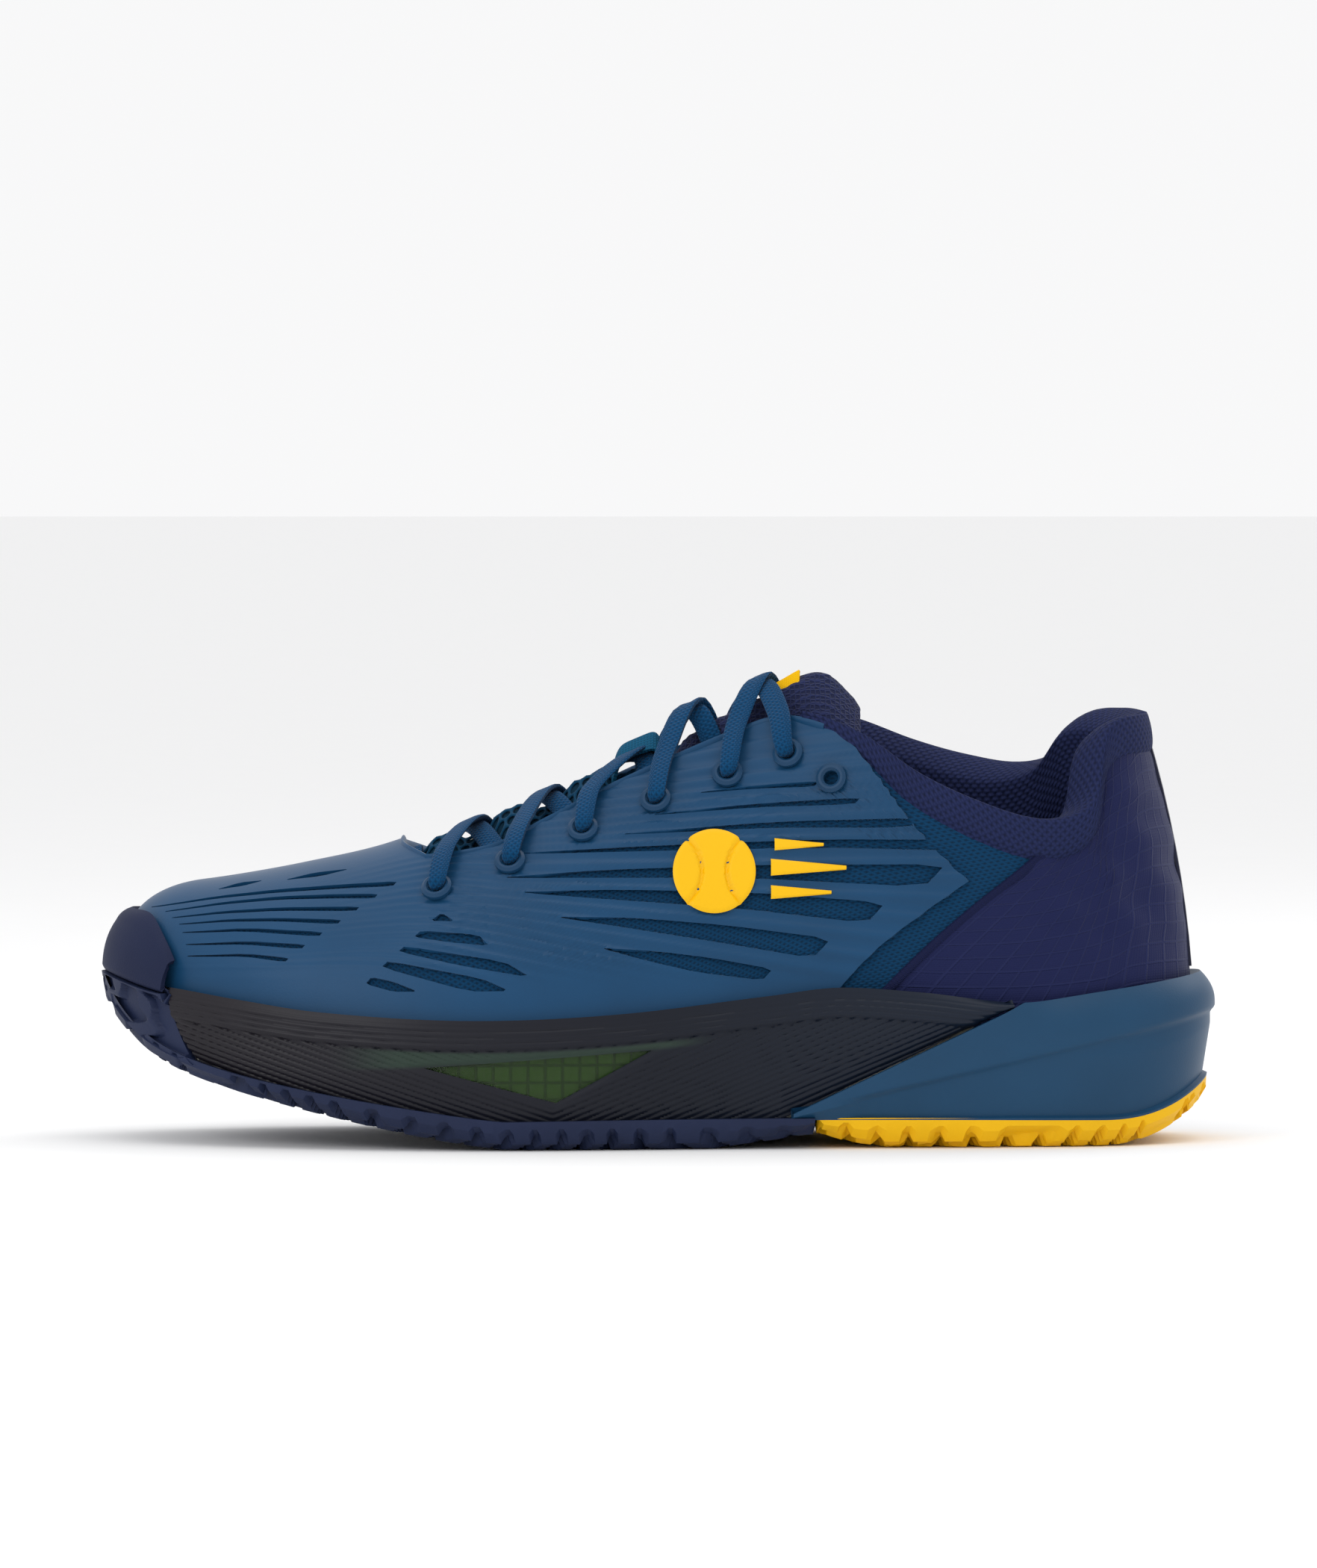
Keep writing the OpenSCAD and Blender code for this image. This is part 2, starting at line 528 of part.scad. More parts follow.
module eyelets(side) {
    for (k = [0:laced]) place_eyelet(k, side) rotate_extrude($fn = 48) polygon([
        [eyelet_r, -lining_in - 0.4], [eyelet_r + grommet_wall, -lining_in - 0.4], [eyelet_r + grommet_wall, rim_lift],
        [eyelet_rim_r, rim_lift], [eyelet_rim_r, rim_lift + rim_t * 0.6], [eyelet_rim_r - 0.8, rim_lift + rim_t],
        [eyelet_r + 0.7, rim_lift + rim_t], [eyelet_r, rim_lift + rim_t * 0.6]]);
}
module eyelets_lateral() {
    color(petrol) eyelets(LATERAL);
}
module eyelets_medial() {
    color(petrol) eyelets(MEDIAL);
}

// A flat cord through rings of [centre, tangent, width direction, width, thickness].
function ring(r) =
    let (t = unit(r[1]), w = unit(r[2] - (r[2] * t) * t), n = cross(t, w))
    [for (q = [[1, 0.4], [0.75, 1], [-0.75, 1], [-1, 0.4], [-1, -0.4], [-0.75, -1], [0.75, -1], [1, -0.4]])
        r[0] + w * q[0] * r[3] / 2 + n * q[1] * r[4] / 2];
module cord(rings) {
    n = len(rings);
    k = 8;
    sides = [for (i = [0:n - 2]) for (j = [0:k - 1]) let (a = i * k + j, b = i * k + (j + 1) % k)
        each [[a, b + k, b], [a, a + k, b + k]]];
    caps = [for (j = [1:k - 2]) each [[0, j, j + 1], [(n - 1) * k, (n - 1) * k + j + 1, (n - 1) * k + j]]];
    polyhedron(flatten([for (r = rings) ring(r)]), concat(sides, caps), convexity = 8);
}
// Rings from [centre, width, thickness] points, with tangents taken from the neighbours.
function guided(pts, across) = [for (i = [0:len(pts) - 1])
    [pts[i][0], pts[min(i + 1, len(pts) - 1)][0] - pts[max(i - 1, 0)][0], across, pts[i][1], pts[i][2]]];
hole_w = 1.55 * eyelet_r;
hole_t = 0.9 * eyelet_r;
function eyelet_at(k, side) = let (e = eyelet(k, side)) spot(e[0], e[1], side, 0);
function eyelet_out(k, side) = let (e = eyelet(k, side)) outward(e[0], e[1], side);
function through(k, side) = [eyelet_at(k, side) - eyelet_out(k, side) * (lining_in - 1) / 2, hole_w, hole_t];
function above(k, side, nudge) = [eyelet_at(k, side) + eyelet_out(k, side) * (rim_lift + rim_t + 0.9)
    + [nudge, 0, 0.6], lace_w * 0.8, lace_t];
function below(k, side) = [eyelet_at(k, side) - eyelet_out(k, side) * (lining_in + 1.6) + [-0.6, 0, 0.6], lace_w * 0.8, lace_t];
function lip(x, side, lift) = upper_point(x, side, edge_angle(x, side), 0)
    + lift * outward(x, topline(x, side) - 1, side);
over_lift = lace_t / 2 + 1.6;
under_lift = -lining_in - lace_t / 2 - 0.5;
cross_x = [-49, -29.5, -4.2, 9.5, 27.5];
cross_lift = [0, 0, 0, 1.9, 0.6];
function crossing(k, side) =
    let (x = cross_x[k] * kx, on_pad = x > 0 ? lining_in : 0)
    [x, spine_y(x), tongue_z(x) - lining_in + on_pad + cross_lift[k] + lace_t / 2 + 1 + (side == LATERAL ? lace_t + 0.5 : 0)];
// One end's run: up through eyelet k, across and under to eyelet k + 1 on the other side.
function run(side) = [for (k = [0:laced - 2]) let (s = k % 2 == 0 ? side : -side,
    a = eyelet(k, s)[0], b = eyelet(k + 1, -s)[0], last = k == laced - 2) each concat(
        [through(k, s), above(k, s, 0.5), [lip(a + 3, s, over_lift), lace_w, lace_t],
            [crossing(k, s), lace_w, lace_t]],
        last ? [[lip(b - 2, -s, over_lift), lace_w, lace_t], above(k + 1, -s, -0.5), through(k + 1, -s)]
        : [[lip(b - 4, -s, under_lift), lace_w, lace_t], below(k + 1, -s)])];
bar_x = -66 * kx;
module lace() {
    bar = concat([below(0, LATERAL)], [for (y = [-15, -7, 0, 7, 15]) [[bar_x, spine_y(bar_x) + y,
        tongue_z(bar_x) - lining_in + lace_t / 2 + 0.8 - tongue_sag(bar_x, y)], lace_w, lace_t]], [below(0, MEDIAL)]);
    left = run(LATERAL);
    pts = concat([for (i = [len(left) - 1:-1:0]) left[i]], bar, run(MEDIAL));
    color(teal) cord(guided(pts, [1, 0, 0.42]));
}
tail_xz = [[30, 90], [24, 80], [12, 70], [-4, 64], [-20, 60], [-34, 58], [-41, 61.5], [-38, 67], [-26, 70], [-12, 73.5]];
aglet_length = 20;
aglet_r = 1.7;
function tail_point(k, side) = spot(tail_xz[k][0] * kx, tail_xz[k][1], side, lining_in + lace_t / 2 + 1);
module lace_tail(side) {
    n = len(tail_xz);
    start = through(laced - 1, side);
    out = eyelet_out(laced - 1, side);
    pts = concat([start[0] - out * 0.1, start[0] - out * (lining_in - 1)], [for (k = [0:n - 1]) tail_point(k, side)]);
    color(teal) cord([for (i = [0:len(pts) - 1]) let (
        t = i == 0 ? -out : pts[min(i + 1, len(pts) - 1)] - pts[max(i - 1, 0)],
        normal = i < 2 ? cross(-out, [1, 0, 0]) : unit(cross(tail_point(2, side) - tail_point(4, side), tail_point(7, side) - tail_point(4, side))))
        [pts[i], t, i < 2 ? [1, 0, 0] : cross(normal, unit(t)) * (side == LATERAL ? 1 : 1), i < 2 ? hole_w : lace_w, i < 2 ? hole_t : lace_t]]);
}
module lace_tail_lateral() {
    lace_tail(LATERAL);
}
module lace_tail_medial() {
    lace_tail(MEDIAL);
}
module aglets() {
    n = len(tail_xz) - 1;
    color(petrol) for (side = [LATERAL, MEDIAL]) {
        p = tail_point(n, side);
        d = unit(p - tail_point(n - 1, side));
        translate(p + d * 0.1 - outward(0, p[2], side) * 0.8) rotate([0, acos(d[2]), atan2(d[1], d[0])]) cylinder(r = aglet_r, h = aglet_length, $fn = 24);
    }
}

// ---- side emblem: a ball with three trailing bars ------------------------------
emblem_ball = [15 * kx, 73];
emblem_ball_r = 11;
emblem_t = 0.7;
trails = [[80, 1.6, 31, 44], [74, 2.2, 30, 50], [67.5, 1.8, 30, 46]];
module emblem_patch(side, x0, x1, mid, half, cells) {
    function face(depth) = [for (i = [0:cells]) let (x = lerp(x0, x1, i / cells), h = half(x)) [for (s = [-1, 0, 1])
        spot(x, mid - side * s * h, side, depth)]];
    shell(face(-emblem_t - 0.1), face(-0.1), all_cells());
}
module side_emblem() {
    color(yellow) for (side = [LATERAL, MEDIAL]) {
        emblem_patch(side, emblem_ball[0] - emblem_ball_r, emblem_ball[0] + emblem_ball_r, emblem_ball[1],
            function(x) emblem_ball_r * max(0.22, sqrt(max(0, 1 - ((x - emblem_ball[0]) / emblem_ball_r) ^ 2))), 12);
        for (t = trails) emblem_patch(side, t[2] * kx, t[3] * kx, t[0],
            function(x) t[1] * lerp(1, 0.25, (x - t[2] * kx) / ((t[3] - t[2]) * kx)), 4);
    }
}

outsole_forefoot();
outsole_heel();
toe_bumper();
midsole_core();
heel_cushion();
forefoot_cushion();
sidewall_lateral();
sidewall_medial();
window_lens();
heel_carrier();
shank_plate();
insole_board();
sockliner();
upper_textile();
toe_puff();
upper_skin();
heel_quarter();
heel_strip();
heel_counter();
upper_lining();
collar_foam();
tongue_mesh();
tongue_pad();
tongue_label();
lace_keeper();
eyelets_lateral();
eyelets_medial();
lace();
lace_tail_lateral();
lace_tail_medial();
aglets();
side_emblem();
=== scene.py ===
# A left tennis court shoe. Lengths in the shape functions are millimetres; meshes are made in metres.
import math

import bmesh
import bpy
import numpy as np
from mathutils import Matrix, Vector


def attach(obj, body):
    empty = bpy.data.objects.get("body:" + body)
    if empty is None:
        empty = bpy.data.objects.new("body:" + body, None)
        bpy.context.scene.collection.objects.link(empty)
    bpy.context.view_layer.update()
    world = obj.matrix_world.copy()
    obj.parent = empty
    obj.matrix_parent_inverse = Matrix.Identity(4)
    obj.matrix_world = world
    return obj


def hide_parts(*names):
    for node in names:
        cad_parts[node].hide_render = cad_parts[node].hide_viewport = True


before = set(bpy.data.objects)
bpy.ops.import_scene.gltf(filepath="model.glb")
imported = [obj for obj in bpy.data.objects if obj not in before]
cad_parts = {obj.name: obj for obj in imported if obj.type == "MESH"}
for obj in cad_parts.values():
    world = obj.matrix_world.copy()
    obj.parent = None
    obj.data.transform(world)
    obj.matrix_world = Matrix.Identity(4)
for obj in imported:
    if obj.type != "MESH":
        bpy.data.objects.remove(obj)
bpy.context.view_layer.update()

MM = 0.001
LATERAL, MEDIAL = -1, 1

# ---- camera -----------------------------------------------------------------
eye = bpy.data.objects.new("court_camera", bpy.data.cameras.new("court_camera"))
bpy.context.scene.collection.objects.link(eye)
bpy.context.scene.camera = eye
SENSOR_MM, VIEW_WIDTH = 36, 0.4178  # the view's width is in metres, at the aim
aim = Vector((0.0002, -0.03, 0.0963))
tilt = math.radians(2.0)
distance = 3.0
eye.location = aim + Vector((0, -math.cos(tilt), math.sin(tilt))) * distance
eye.rotation_euler = (math.pi / 2 - tilt, 0, 0)
eye.data.lens = SENSOR_MM * distance / VIEW_WIDTH
eye.data.clip_end = 20
bpy.context.scene.view_settings.view_transform = "Standard"


# ---- curves along the shoe ----------------------------------------------------
def smooth_curve(points, x):
    """A smooth curve through (x, value) points, level beyond both ends."""
    p = np.asarray(points, float)
    x = np.asarray(x, float)
    i = np.clip(np.searchsorted(p[:, 0], x, side="right") - 1, 0, len(p) - 2)
    lo, hi = np.maximum(np.arange(len(p)) - 1, 0), np.minimum(np.arange(len(p)) + 1, len(p) - 1)
    slope = (p[hi, 1] - p[lo, 1]) / (p[hi, 0] - p[lo, 0])
    h = p[i + 1, 0] - p[i, 0]
    t = np.clip((x - p[i, 0]) / h, 0, 1)
    return ((1 + 2 * t) * (1 - t) ** 2 * p[i, 1] + t ** 2 * (3 - 2 * t) * p[i + 1, 1]
            + h * (t * (1 - t) ** 2 * slope[i] - t ** 2 * (1 - t) * slope[i + 1]))


def mix(a, b, t):
    return a + (b - a) * t


def ease(t):
    t = np.clip(t, 0, 1)
    return t * t * (3 - 2 * t)


HALF, BALL, WAIST, HEEL = 150.0, 112.0, 86.0, 88.0
INSET = 5.0
SCALE = (HALF - INSET) / HALF
LATERAL_HALF = [(-150, .45 * BALL), (-100, .483 * BALL), (-40, .505 * BALL), (25, .56 * WAIST), (85, .51 * HEEL),
                (150, .51 * HEEL)]
MEDIAL_HALF = [(-150, .42 * BALL), (-100, .47 * BALL), (-60, .495 * BALL), (-10, .47 * WAIST + .035 * BALL),
               (35, .46 * WAIST), (90, .49 * HEEL), (150, .51 * HEEL)]


def rim(x, side, inset):
    """A point of the sole's edge in plan, moved in by inset."""
    x, side = np.asarray(x, float), np.asarray(side, float)
    roundness = np.sqrt(np.maximum(0, 1 - (np.abs(x) / HALF) ** np.where(x < 0, 4, 6)))
    half = np.where(side < 0, smooth_curve(LATERAL_HALF, x), smooth_curve(MEDIAL_HALF, x))
    middle = smooth_curve([(-150, 6), (-110, 3), (-60, 0), (150, 0)], x)
    return x * (HALF - inset) / HALF, middle + side * (half - inset) * roundness


def turn(x):
    return np.degrees(np.arccos(np.clip(-np.asarray(x, float) / HALF, -1, 1)))


def at_turn(phi):
    return -HALF * np.cos(np.radians(phi))


def tread_z(x):
    t, s = np.clip((-40 - x) / 110, 0, 1), np.clip((x - 118) / 32, 0, 1)
    return 42 * (.6 * t ** 1.3 + .4 * t ** 12) + 15 * s ** 2.2


def sole_top(x):
    return tread_z(x) + 7.5 * smooth_curve([(-150, .55), (-110, .65), (-50, 1), (118, 1), (150, .6)], x)


def tread_low(x):
    return tread_z(x) + smooth_curve([(15, 0), (30, 2), (42, 3.5), (52, 1.2), (60, 0)], x)


def parting_z(x):
    return smooth_curve([(-150, 45.4), (-134, 40.6), (-124, 39.5)], x)


def feather_z(x):
    return smooth_curve([(-150, 43), (-132, 42), (-112, 39.2), (-90, 36.3), (-50, 34.4), (-10, 36), (30, 40.6), (48, 42.7),
                         (70, 41.4), (97, 38.6), (120, 41.2), (150, 45.5)], x)


def footbed(x):
    return (17 + smooth_curve([(-150, 28), (-140, 18.5), (-130, 13), (-100, 6.5), (-70, 1.5), (-40, 0)], x)
            + 7 * smooth_curve([(-40, 0), (0, .15), (50, .7), (90, 1), (150, 1.1)], x))


CARRIER_X, CARRIER_TIP = 33.0, 97.0


def carrier_z(x):
    return mix(sole_top(CARRIER_X), feather_z(CARRIER_TIP), (x - CARRIER_X) / (CARRIER_TIP - CARRIER_X))


# ---- the upper's surface --------------------------------------------------------
LATERAL_TOP = [(-72, 76), (-45, 80), (-29, 87.5), (-10, 97), (23, 111), (36, 114), (54, 108.5), (70, 98), (88, 90), (103, 86),
               (114, 87.5), (120, 93), (124, 106), (129, 111.5), (138, 113), (150, 113)]
MEDIAL_TOP = [(-72, 76), (-45, 80.5), (-29, 88), (-10, 98), (23, 112), (38, 115), (55, 110.5), (70, 105), (85, 101), (100, 99),
              (112, 102), (122, 112), (136, 114), (150, 113)]
SPINE = [(-150, 58), (-140, 65), (-120, 69.5), (-95, 74.5), (-72, 80), (-40, 92.5), (0, 109), (40, 132), (80, 200),
         (120, 240), (150, 250)]
SPINE_SHIFT = [(-150, 6), (-110, 3), (-60, -.5), (0, -3), (50, -2.5), (100, 0), (150, 0)]
SIDE_POWER = [(-150, 1), (-72, 1.1), (0, 1.25), (60, 1.5), (150, 2)]
TOP_POWER = [(-150, .55), (-120, .65), (-80, .85), (-30, 1), (150, 1)]
THROAT = -72.0


def topline(x, side):
    x = np.asarray(x, float) * SCALE
    return np.where(np.asarray(side) < 0, smooth_curve(LATERAL_TOP, x), smooth_curve(MEDIAL_TOP, x))


def spine_x(x):
    c = -x / HALF
    return x * SCALE + np.where(c > 0, 28, -60) * c ** 4


def spine_z(x):
    return smooth_curve(SPINE, spine_x(x))


def spine_y(x):
    return smooth_curve(SPINE_SHIFT, x)


def upper_point(x, side, angle, depth):
    """A point of the upper: base position x, angle from base (0) to spine (90), depth below the surface."""
    x = np.asarray(x, float)
    angle = np.radians(np.asarray(angle, float))
    bx, by = rim(x, side, INSET + depth)
    a = np.cos(angle) ** smooth_curve(SIDE_POWER, x)
    b = np.sin(angle) ** smooth_curve(TOP_POWER, x)
    z = footbed(x * SCALE)
    sx, sy = spine_x(x), spine_y(x)
    return np.stack([sx + (bx - sx) * a, sy + (by - sy) * a, z + (spine_z(x) - depth - z) * b], -1)


def angle_at(x, z):
    low = footbed(x * SCALE)
    return np.degrees(np.arcsin(np.clip((z - low) / (spine_z(x) - low), 0, 1) ** (1 / smooth_curve(TOP_POWER, x))))


def edge_angle(x, side):
    u = np.maximum(x, THROAT)
    return angle_at(u, topline(u, side))


def spot(x, z, side, depth=0.0):
    x = np.asarray(x, float)
    return upper_point(x, side, angle_at(x, z), depth)


def outward(x, z, side):
    a = spot(x + 1, z, side) - spot(x - 1, z, side)
    b = spot(x, z + 1, side) - spot(x, z - 1, side)
    n = np.cross(a, b)
    n = n / np.linalg.norm(n, axis=-1, keepdims=True)
    return n * -np.asarray(side)[..., None] if np.ndim(side) else n * -side


def tongue_z(x):
    return smooth_curve([(-80, 77), (-60, 83), (-40, 91), (0, 108), (8, 111), (30, 121), (44, 127), (56, 120)], x)


def tongue_half(x):
    return smooth_curve([(-80, 16), (-60, 23), (-30, 22), (0, 19.5), (15, 17.5), (30, 16.5), (44, 16.5), (56, 18)], x)


def tongue_sag(x, y):
    depth = smooth_curve([(-80, 12), (-40, 18), (0, 27), (15, 41), (30, 36), (44, 27), (56, 18)], x)
    return depth * (np.abs(y) / tongue_half(x)) ** 1.2


# ---- mesh helpers ---------------------------------------------------------------
def deselect():
    bpy.ops.object.select_all(action="DESELECT")


def pick(obj):
    deselect()
    obj.select_set(True)
    bpy.context.view_layer.objects.active = obj


def apply_all(obj):
    """Applies every modifier as a user would, from the top."""
    pick(obj)
    for m in list(obj.modifiers):
        bpy.ops.object.modifier_apply(modifier=m.name)
    return obj


def new_mesh(name, verts, faces, uv=None):
    """A mesh object from points in millimetres, with an optional UV map in millimetres / 100."""
    mesh = bpy.data.meshes.new(name)
    mesh.from_pydata((np.asarray(verts, float) * MM).tolist(), [], [list(map(int, f)) for f in faces])
    if uv is not None:
        layer = mesh.uv_layers.new(name="lay")
        index = np.zeros(len(mesh.loops), np.int32)
        mesh.loops.foreach_get("vertex_index", index)
        layer.data.foreach_set("uv", (np.asarray(uv, float)[index] / 100).ravel())
    mesh.update()
    obj = bpy.data.objects.new(name, mesh)
    bpy.context.scene.collection.objects.link(obj)
    return obj


def grid_faces(rows, cols, keep=None, close=False):
    i, j = np.meshgrid(np.arange(rows - 1), np.arange(cols if close else cols - 1), indexing="ij")
    k = (j + 1) % cols
    f = np.stack([i * cols + j, (i + 1) * cols + j, (i + 1) * cols + k, i * cols + k], -1)
    return (f[keep] if keep is not None else f.reshape(-1, 4))


def lay_out(points):
    """UV lengths in millimetres along both directions of a grid of points."""
    du = np.linalg.norm(np.diff(points, axis=0), axis=-1)
    dv = np.linalg.norm(np.diff(points, axis=1), axis=-1)
    u = np.concatenate([np.zeros((1, points.shape[1])), np.cumsum(du, 0)])
    v = np.concatenate([np.zeros((points.shape[0], 1)), np.cumsum(dv, 1)], 1)
    return np.stack([u.mean(1, keepdims=True).repeat(points.shape[1], 1), v], -1)


def sheet_piece(name, points, keep=None, thick=1.0, uv=None, close=False, offset=-1.0, bevel=0.0):
    """A skin with thickness from a grid of points whose normals face out."""
    n, m = points.shape[:2]
    uv = lay_out(points) if uv is None else uv
    obj = new_mesh(name, points.reshape(-1, 3), grid_faces(n, m, keep, close), uv.reshape(-1, 2))
    bm = bmesh.new()
    bm.from_mesh(obj.data)
    bmesh.ops.remove_doubles(bm, verts=bm.verts, dist=2e-5)
    bmesh.ops.delete(bm, geom=[v for v in bm.verts if not v.link_faces], context="VERTS")
    bm.to_mesh(obj.data)
    bm.free()
    if thick:
        wall = obj.modifiers.new("wall", "SOLIDIFY")
        wall.thickness = thick * MM
        wall.offset = offset
        wall.use_even_offset = False
    if bevel:
        soft = obj.modifiers.new("soft", "BEVEL")
        soft.width = bevel * MM
        soft.segments = 2
        soft.limit_method = "ANGLE"
        soft.angle_limit = math.radians(50)
    apply_all(obj)
    smooth(obj)
    return obj


def smooth(obj, degrees=40):
    pick(obj)
    bpy.ops.object.shade_smooth_by_angle(angle=math.radians(degrees))


def finish_piece(obj, material, body="shoe", stands_for=()):
    obj.data.materials.clear()
    obj.data.materials.append(material)
    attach(obj, body)
    if stands_for:
        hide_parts(*stands_for)
    return obj


# ---- materials --------------------------------------------------------------------
class Finish:
    """A material with its shader, and a few ways to feed it."""

    def __init__(self, name, colour, rough, **values):
        self.material = bpy.data.materials.new(name)
        self.material.use_nodes = True
        self.tree = self.material.node_tree
        self.shader = self.tree.nodes["Principled BSDF"]
        self.shader.inputs["Base Color"].default_value = (*colour, 1)
        self.shader.inputs["Roughness"].default_value = rough
        values.setdefault("Specular_IOR_Level", 0.12 if rough > .6 else 0.22)
        for key, value in values.items():
            self.shader.inputs[key.replace("_", " ")].default_value = value
        self.colour = colour
        self.bump = None

    def node(self, kind, **settings):
        n = self.tree.nodes.new(kind)
        for key, value in settings.items():
            if key in n.inputs:
                n.inputs[key].default_value = value
            else:
                setattr(n, key, value)
        return n

    def link(self, a, b):
        self.tree.links.new(a, b)

    def place(self, uv=False):
        if uv:
            return self.node("ShaderNodeUVMap", uv_map="lay").outputs[0]
        return self.node("ShaderNodeTexCoord").outputs["Object"]

    def mapped(self, scale, turned=0.0, uv=True):
        m = self.node("ShaderNodeMapping")
        m.inputs["Scale"].default_value = scale
        m.inputs["Rotation"].default_value = (0, 0, math.radians(turned))
        self.link(self.place(uv), m.inputs["Vector"])
        return m.outputs[0]

    def math(self, what, a, b=0.5):
        n = self.node("ShaderNodeMath", operation=what)
        for socket, value in zip(n.inputs, (a, b)):
            if isinstance(value, (int, float)):
                socket.default_value = value
            else:
                self.link(value, socket)
        return n.outputs[0]

    def ramp(self, source, stops):
        r = self.node("ShaderNodeValToRGB")
        e = r.color_ramp.elements
        while len(e) < len(stops):
            e.new(0.5)
        for el, (at, value) in zip(e, stops):
            el.position = at
            el.color = (*value, 1) if hasattr(value, "__len__") else (value, value, value, 1)
        self.link(source, r.inputs[0])
        return r.outputs[0]

    def raise_by(self, height, distance, strength=1.0):
        """Adds a bump of the given height map, chained on the one before."""
        b = self.node("ShaderNodeBump")
        b.inputs["Distance"].default_value = distance * MM
        b.inputs["Strength"].default_value = strength
        self.link(height, b.inputs["Height"])
        if self.bump:
            self.link(self.bump.outputs[0], b.inputs["Normal"])
        self.bump = b
        self.link(b.outputs[0], self.shader.inputs["Normal"])

    def shade(self, mask, dark):
        """Colour runs from colour * dark to colour as the mask runs 0 to 1."""
        low = tuple(c * dark for c in self.colour)
        self.tone(mask, [(0, low), (1, self.colour)])

    def noise(self, per_mm, detail=3, uv=False):
        n = self.node("ShaderNodeTexNoise")
        n.inputs["Scale"].default_value = per_mm * (100 if uv else 1000)
        n.inputs["Detail"].default_value = detail
        self.link(self.place(uv), n.inputs["Vector"])
        return n.outputs["Fac"]

    def threads(self, pitch, turned=0.0, wobble=0.0):
        """A weave of threads pitch millimetres apart: height 0 to 1."""
        k = 100 / pitch * math.pi * 2 / 20
        out = []
        for angle in (turned, turned + 90):
            w = self.node("ShaderNodeTexWave", wave_type="BANDS", bands_direction="X", wave_profile="SIN")
            w.inputs["Scale"].default_value = k
            w.inputs["Distortion"].default_value = wobble
            self.link(self.mapped((1, 1, 1), angle), w.inputs["Vector"])
            out.append(w.outputs["Fac"])
        return out

    def grid(self, pitch, line, wobble=0.0):
        """Thin lines pitch millimetres apart both ways, 1 on a line; line is the ramp's stops."""
        a, b = self.threads(pitch, 0, wobble)
        return self.math("MAXIMUM", self.ramp(a, line), self.ramp(b, line))

    def tone(self, mask, stops):
        self.link(self.ramp(mask, stops), self.shader.inputs["Base Color"])

    def cells(self, per_mm, uv=False):
        v = self.node("ShaderNodeTexVoronoi", feature="DISTANCE_TO_EDGE")
        v.inputs["Scale"].default_value = per_mm * (100 if uv else 1000)
        v.inputs["Randomness"].default_value = 0.35
        self.link(self.place(uv), v.inputs["Vector"])
        return v.outputs["Distance"]


def grained(name, colour, rough, grain=0.7, deep=0.06, drift=0.8, **values):
    """Moulded rubber or plastic with a fine grain and a little drift of tone."""
    f = Finish(name, colour, rough, **values)
    f.shade(f.ramp(f.noise(0.03, 4), [(0.3, 0), (0.7, 1)]), drift)
    f.raise_by(f.noise(grain, 2), deep)
    return f


def woven(name, colour, rough, pitch, turned=45.0, deep=0.12, dark=0.55, **values):
    f = Finish(name, colour, rough, **values)
    a, b = f.threads(pitch, turned)
    f.shade(f.math("MULTIPLY", f.math("MAXIMUM", a, b), f.ramp(f.noise(0.04, 4), [(0.25, .75), (0.75, 1)])), dark)
    f.raise_by(f.math("MULTIPLY", a, b), deep)
    return f


def knitted(name, colour, rough, per_mm, deep=0.25, dark=0.35, **values):
    """Mesh fabric with small open cells."""
    f = Finish(name, colour, rough, **values)
    holes = f.ramp(f.cells(per_mm), [(0.04, 1), (0.22, 0)])
    f.shade(f.math("MULTIPLY", holes, f.ramp(f.noise(0.05, 3), [(0.2, .8), (0.8, 1)])), dark)
    f.raise_by(holes, deep)
    return f


BLUE = (0.0045, 0.055, 0.140)
TEAL = (0.001, 0.043, 0.115)
NAVY = (0.006, 0.009, 0.052)
INK = (0.005, 0.007, 0.014)
TREAD = (0.014, 0.023, 0.066)
YELLOW = (0.88, 0.49, 0.001)

skin_finish = grained("moulded_skin", BLUE, 0.42, 1.6, 0.03, 0.86, Sheen_Weight=0.05)
textile_finish = woven("teal_weave", TEAL, 0.75, 1.1, 32, 0.16, 0.35, Sheen_Weight=0.05)
ripstop = woven("navy_ripstop", NAVY, 0.62, 0.7, 0, 0.05, 0.72, Sheen_Weight=0.06)
lines = ripstop.grid(5.2, [(0.93, 0), (0.99, 1)], 0.6)
ripstop.raise_by(lines, 0.18)
ripstop.tone(lines, [(0, (0.0085, 0.0125, 0.062)), (1, (0.0115, 0.0165, 0.072))])
pad_knit = knitted("pad_mesh", (0.018, 0.026, 0.090), 0.8, 0.75, 0.3, 0.5, Sheen_Weight=0.08)
collar_knit = woven("collar_mesh", (0.018, 0.026, 0.090), 0.8, 1.7, 45, 0.4, 0.38)
lining_knit = knitted("lining_mesh", (0.024, 0.027, 0.095), 0.85, 0.7, 0.15, 0.5, Sheen_Weight=0.08)
bumper_rubber = grained("bumper_rubber", (0.014, 0.020, 0.055), 0.62, 2.2, 0.09, 0.85)
tread_rubber = grained("tread_rubber", TREAD, 0.55, 1.2, 0.05, 0.8)
yellow_rubber = grained("yellow_rubber", YELLOW, 0.5, 1.2, 0.04, 0.92)
frame_plastic = grained("frame_plastic", INK, 0.36, 2.0, 0.02, 0.7)
tint = frame_plastic.node("ShaderNodeAttribute", attribute_name="tint").outputs["Fac"]
along = frame_plastic.node("ShaderNodeSeparateXYZ")
frame_plastic.link(frame_plastic.place(), along.inputs[0])
toe_to_heel = [(0.04, (0.013, 0.011, 0.015)), (0.5, INK), (0.85, (0.006, 0.012, 0.026))]
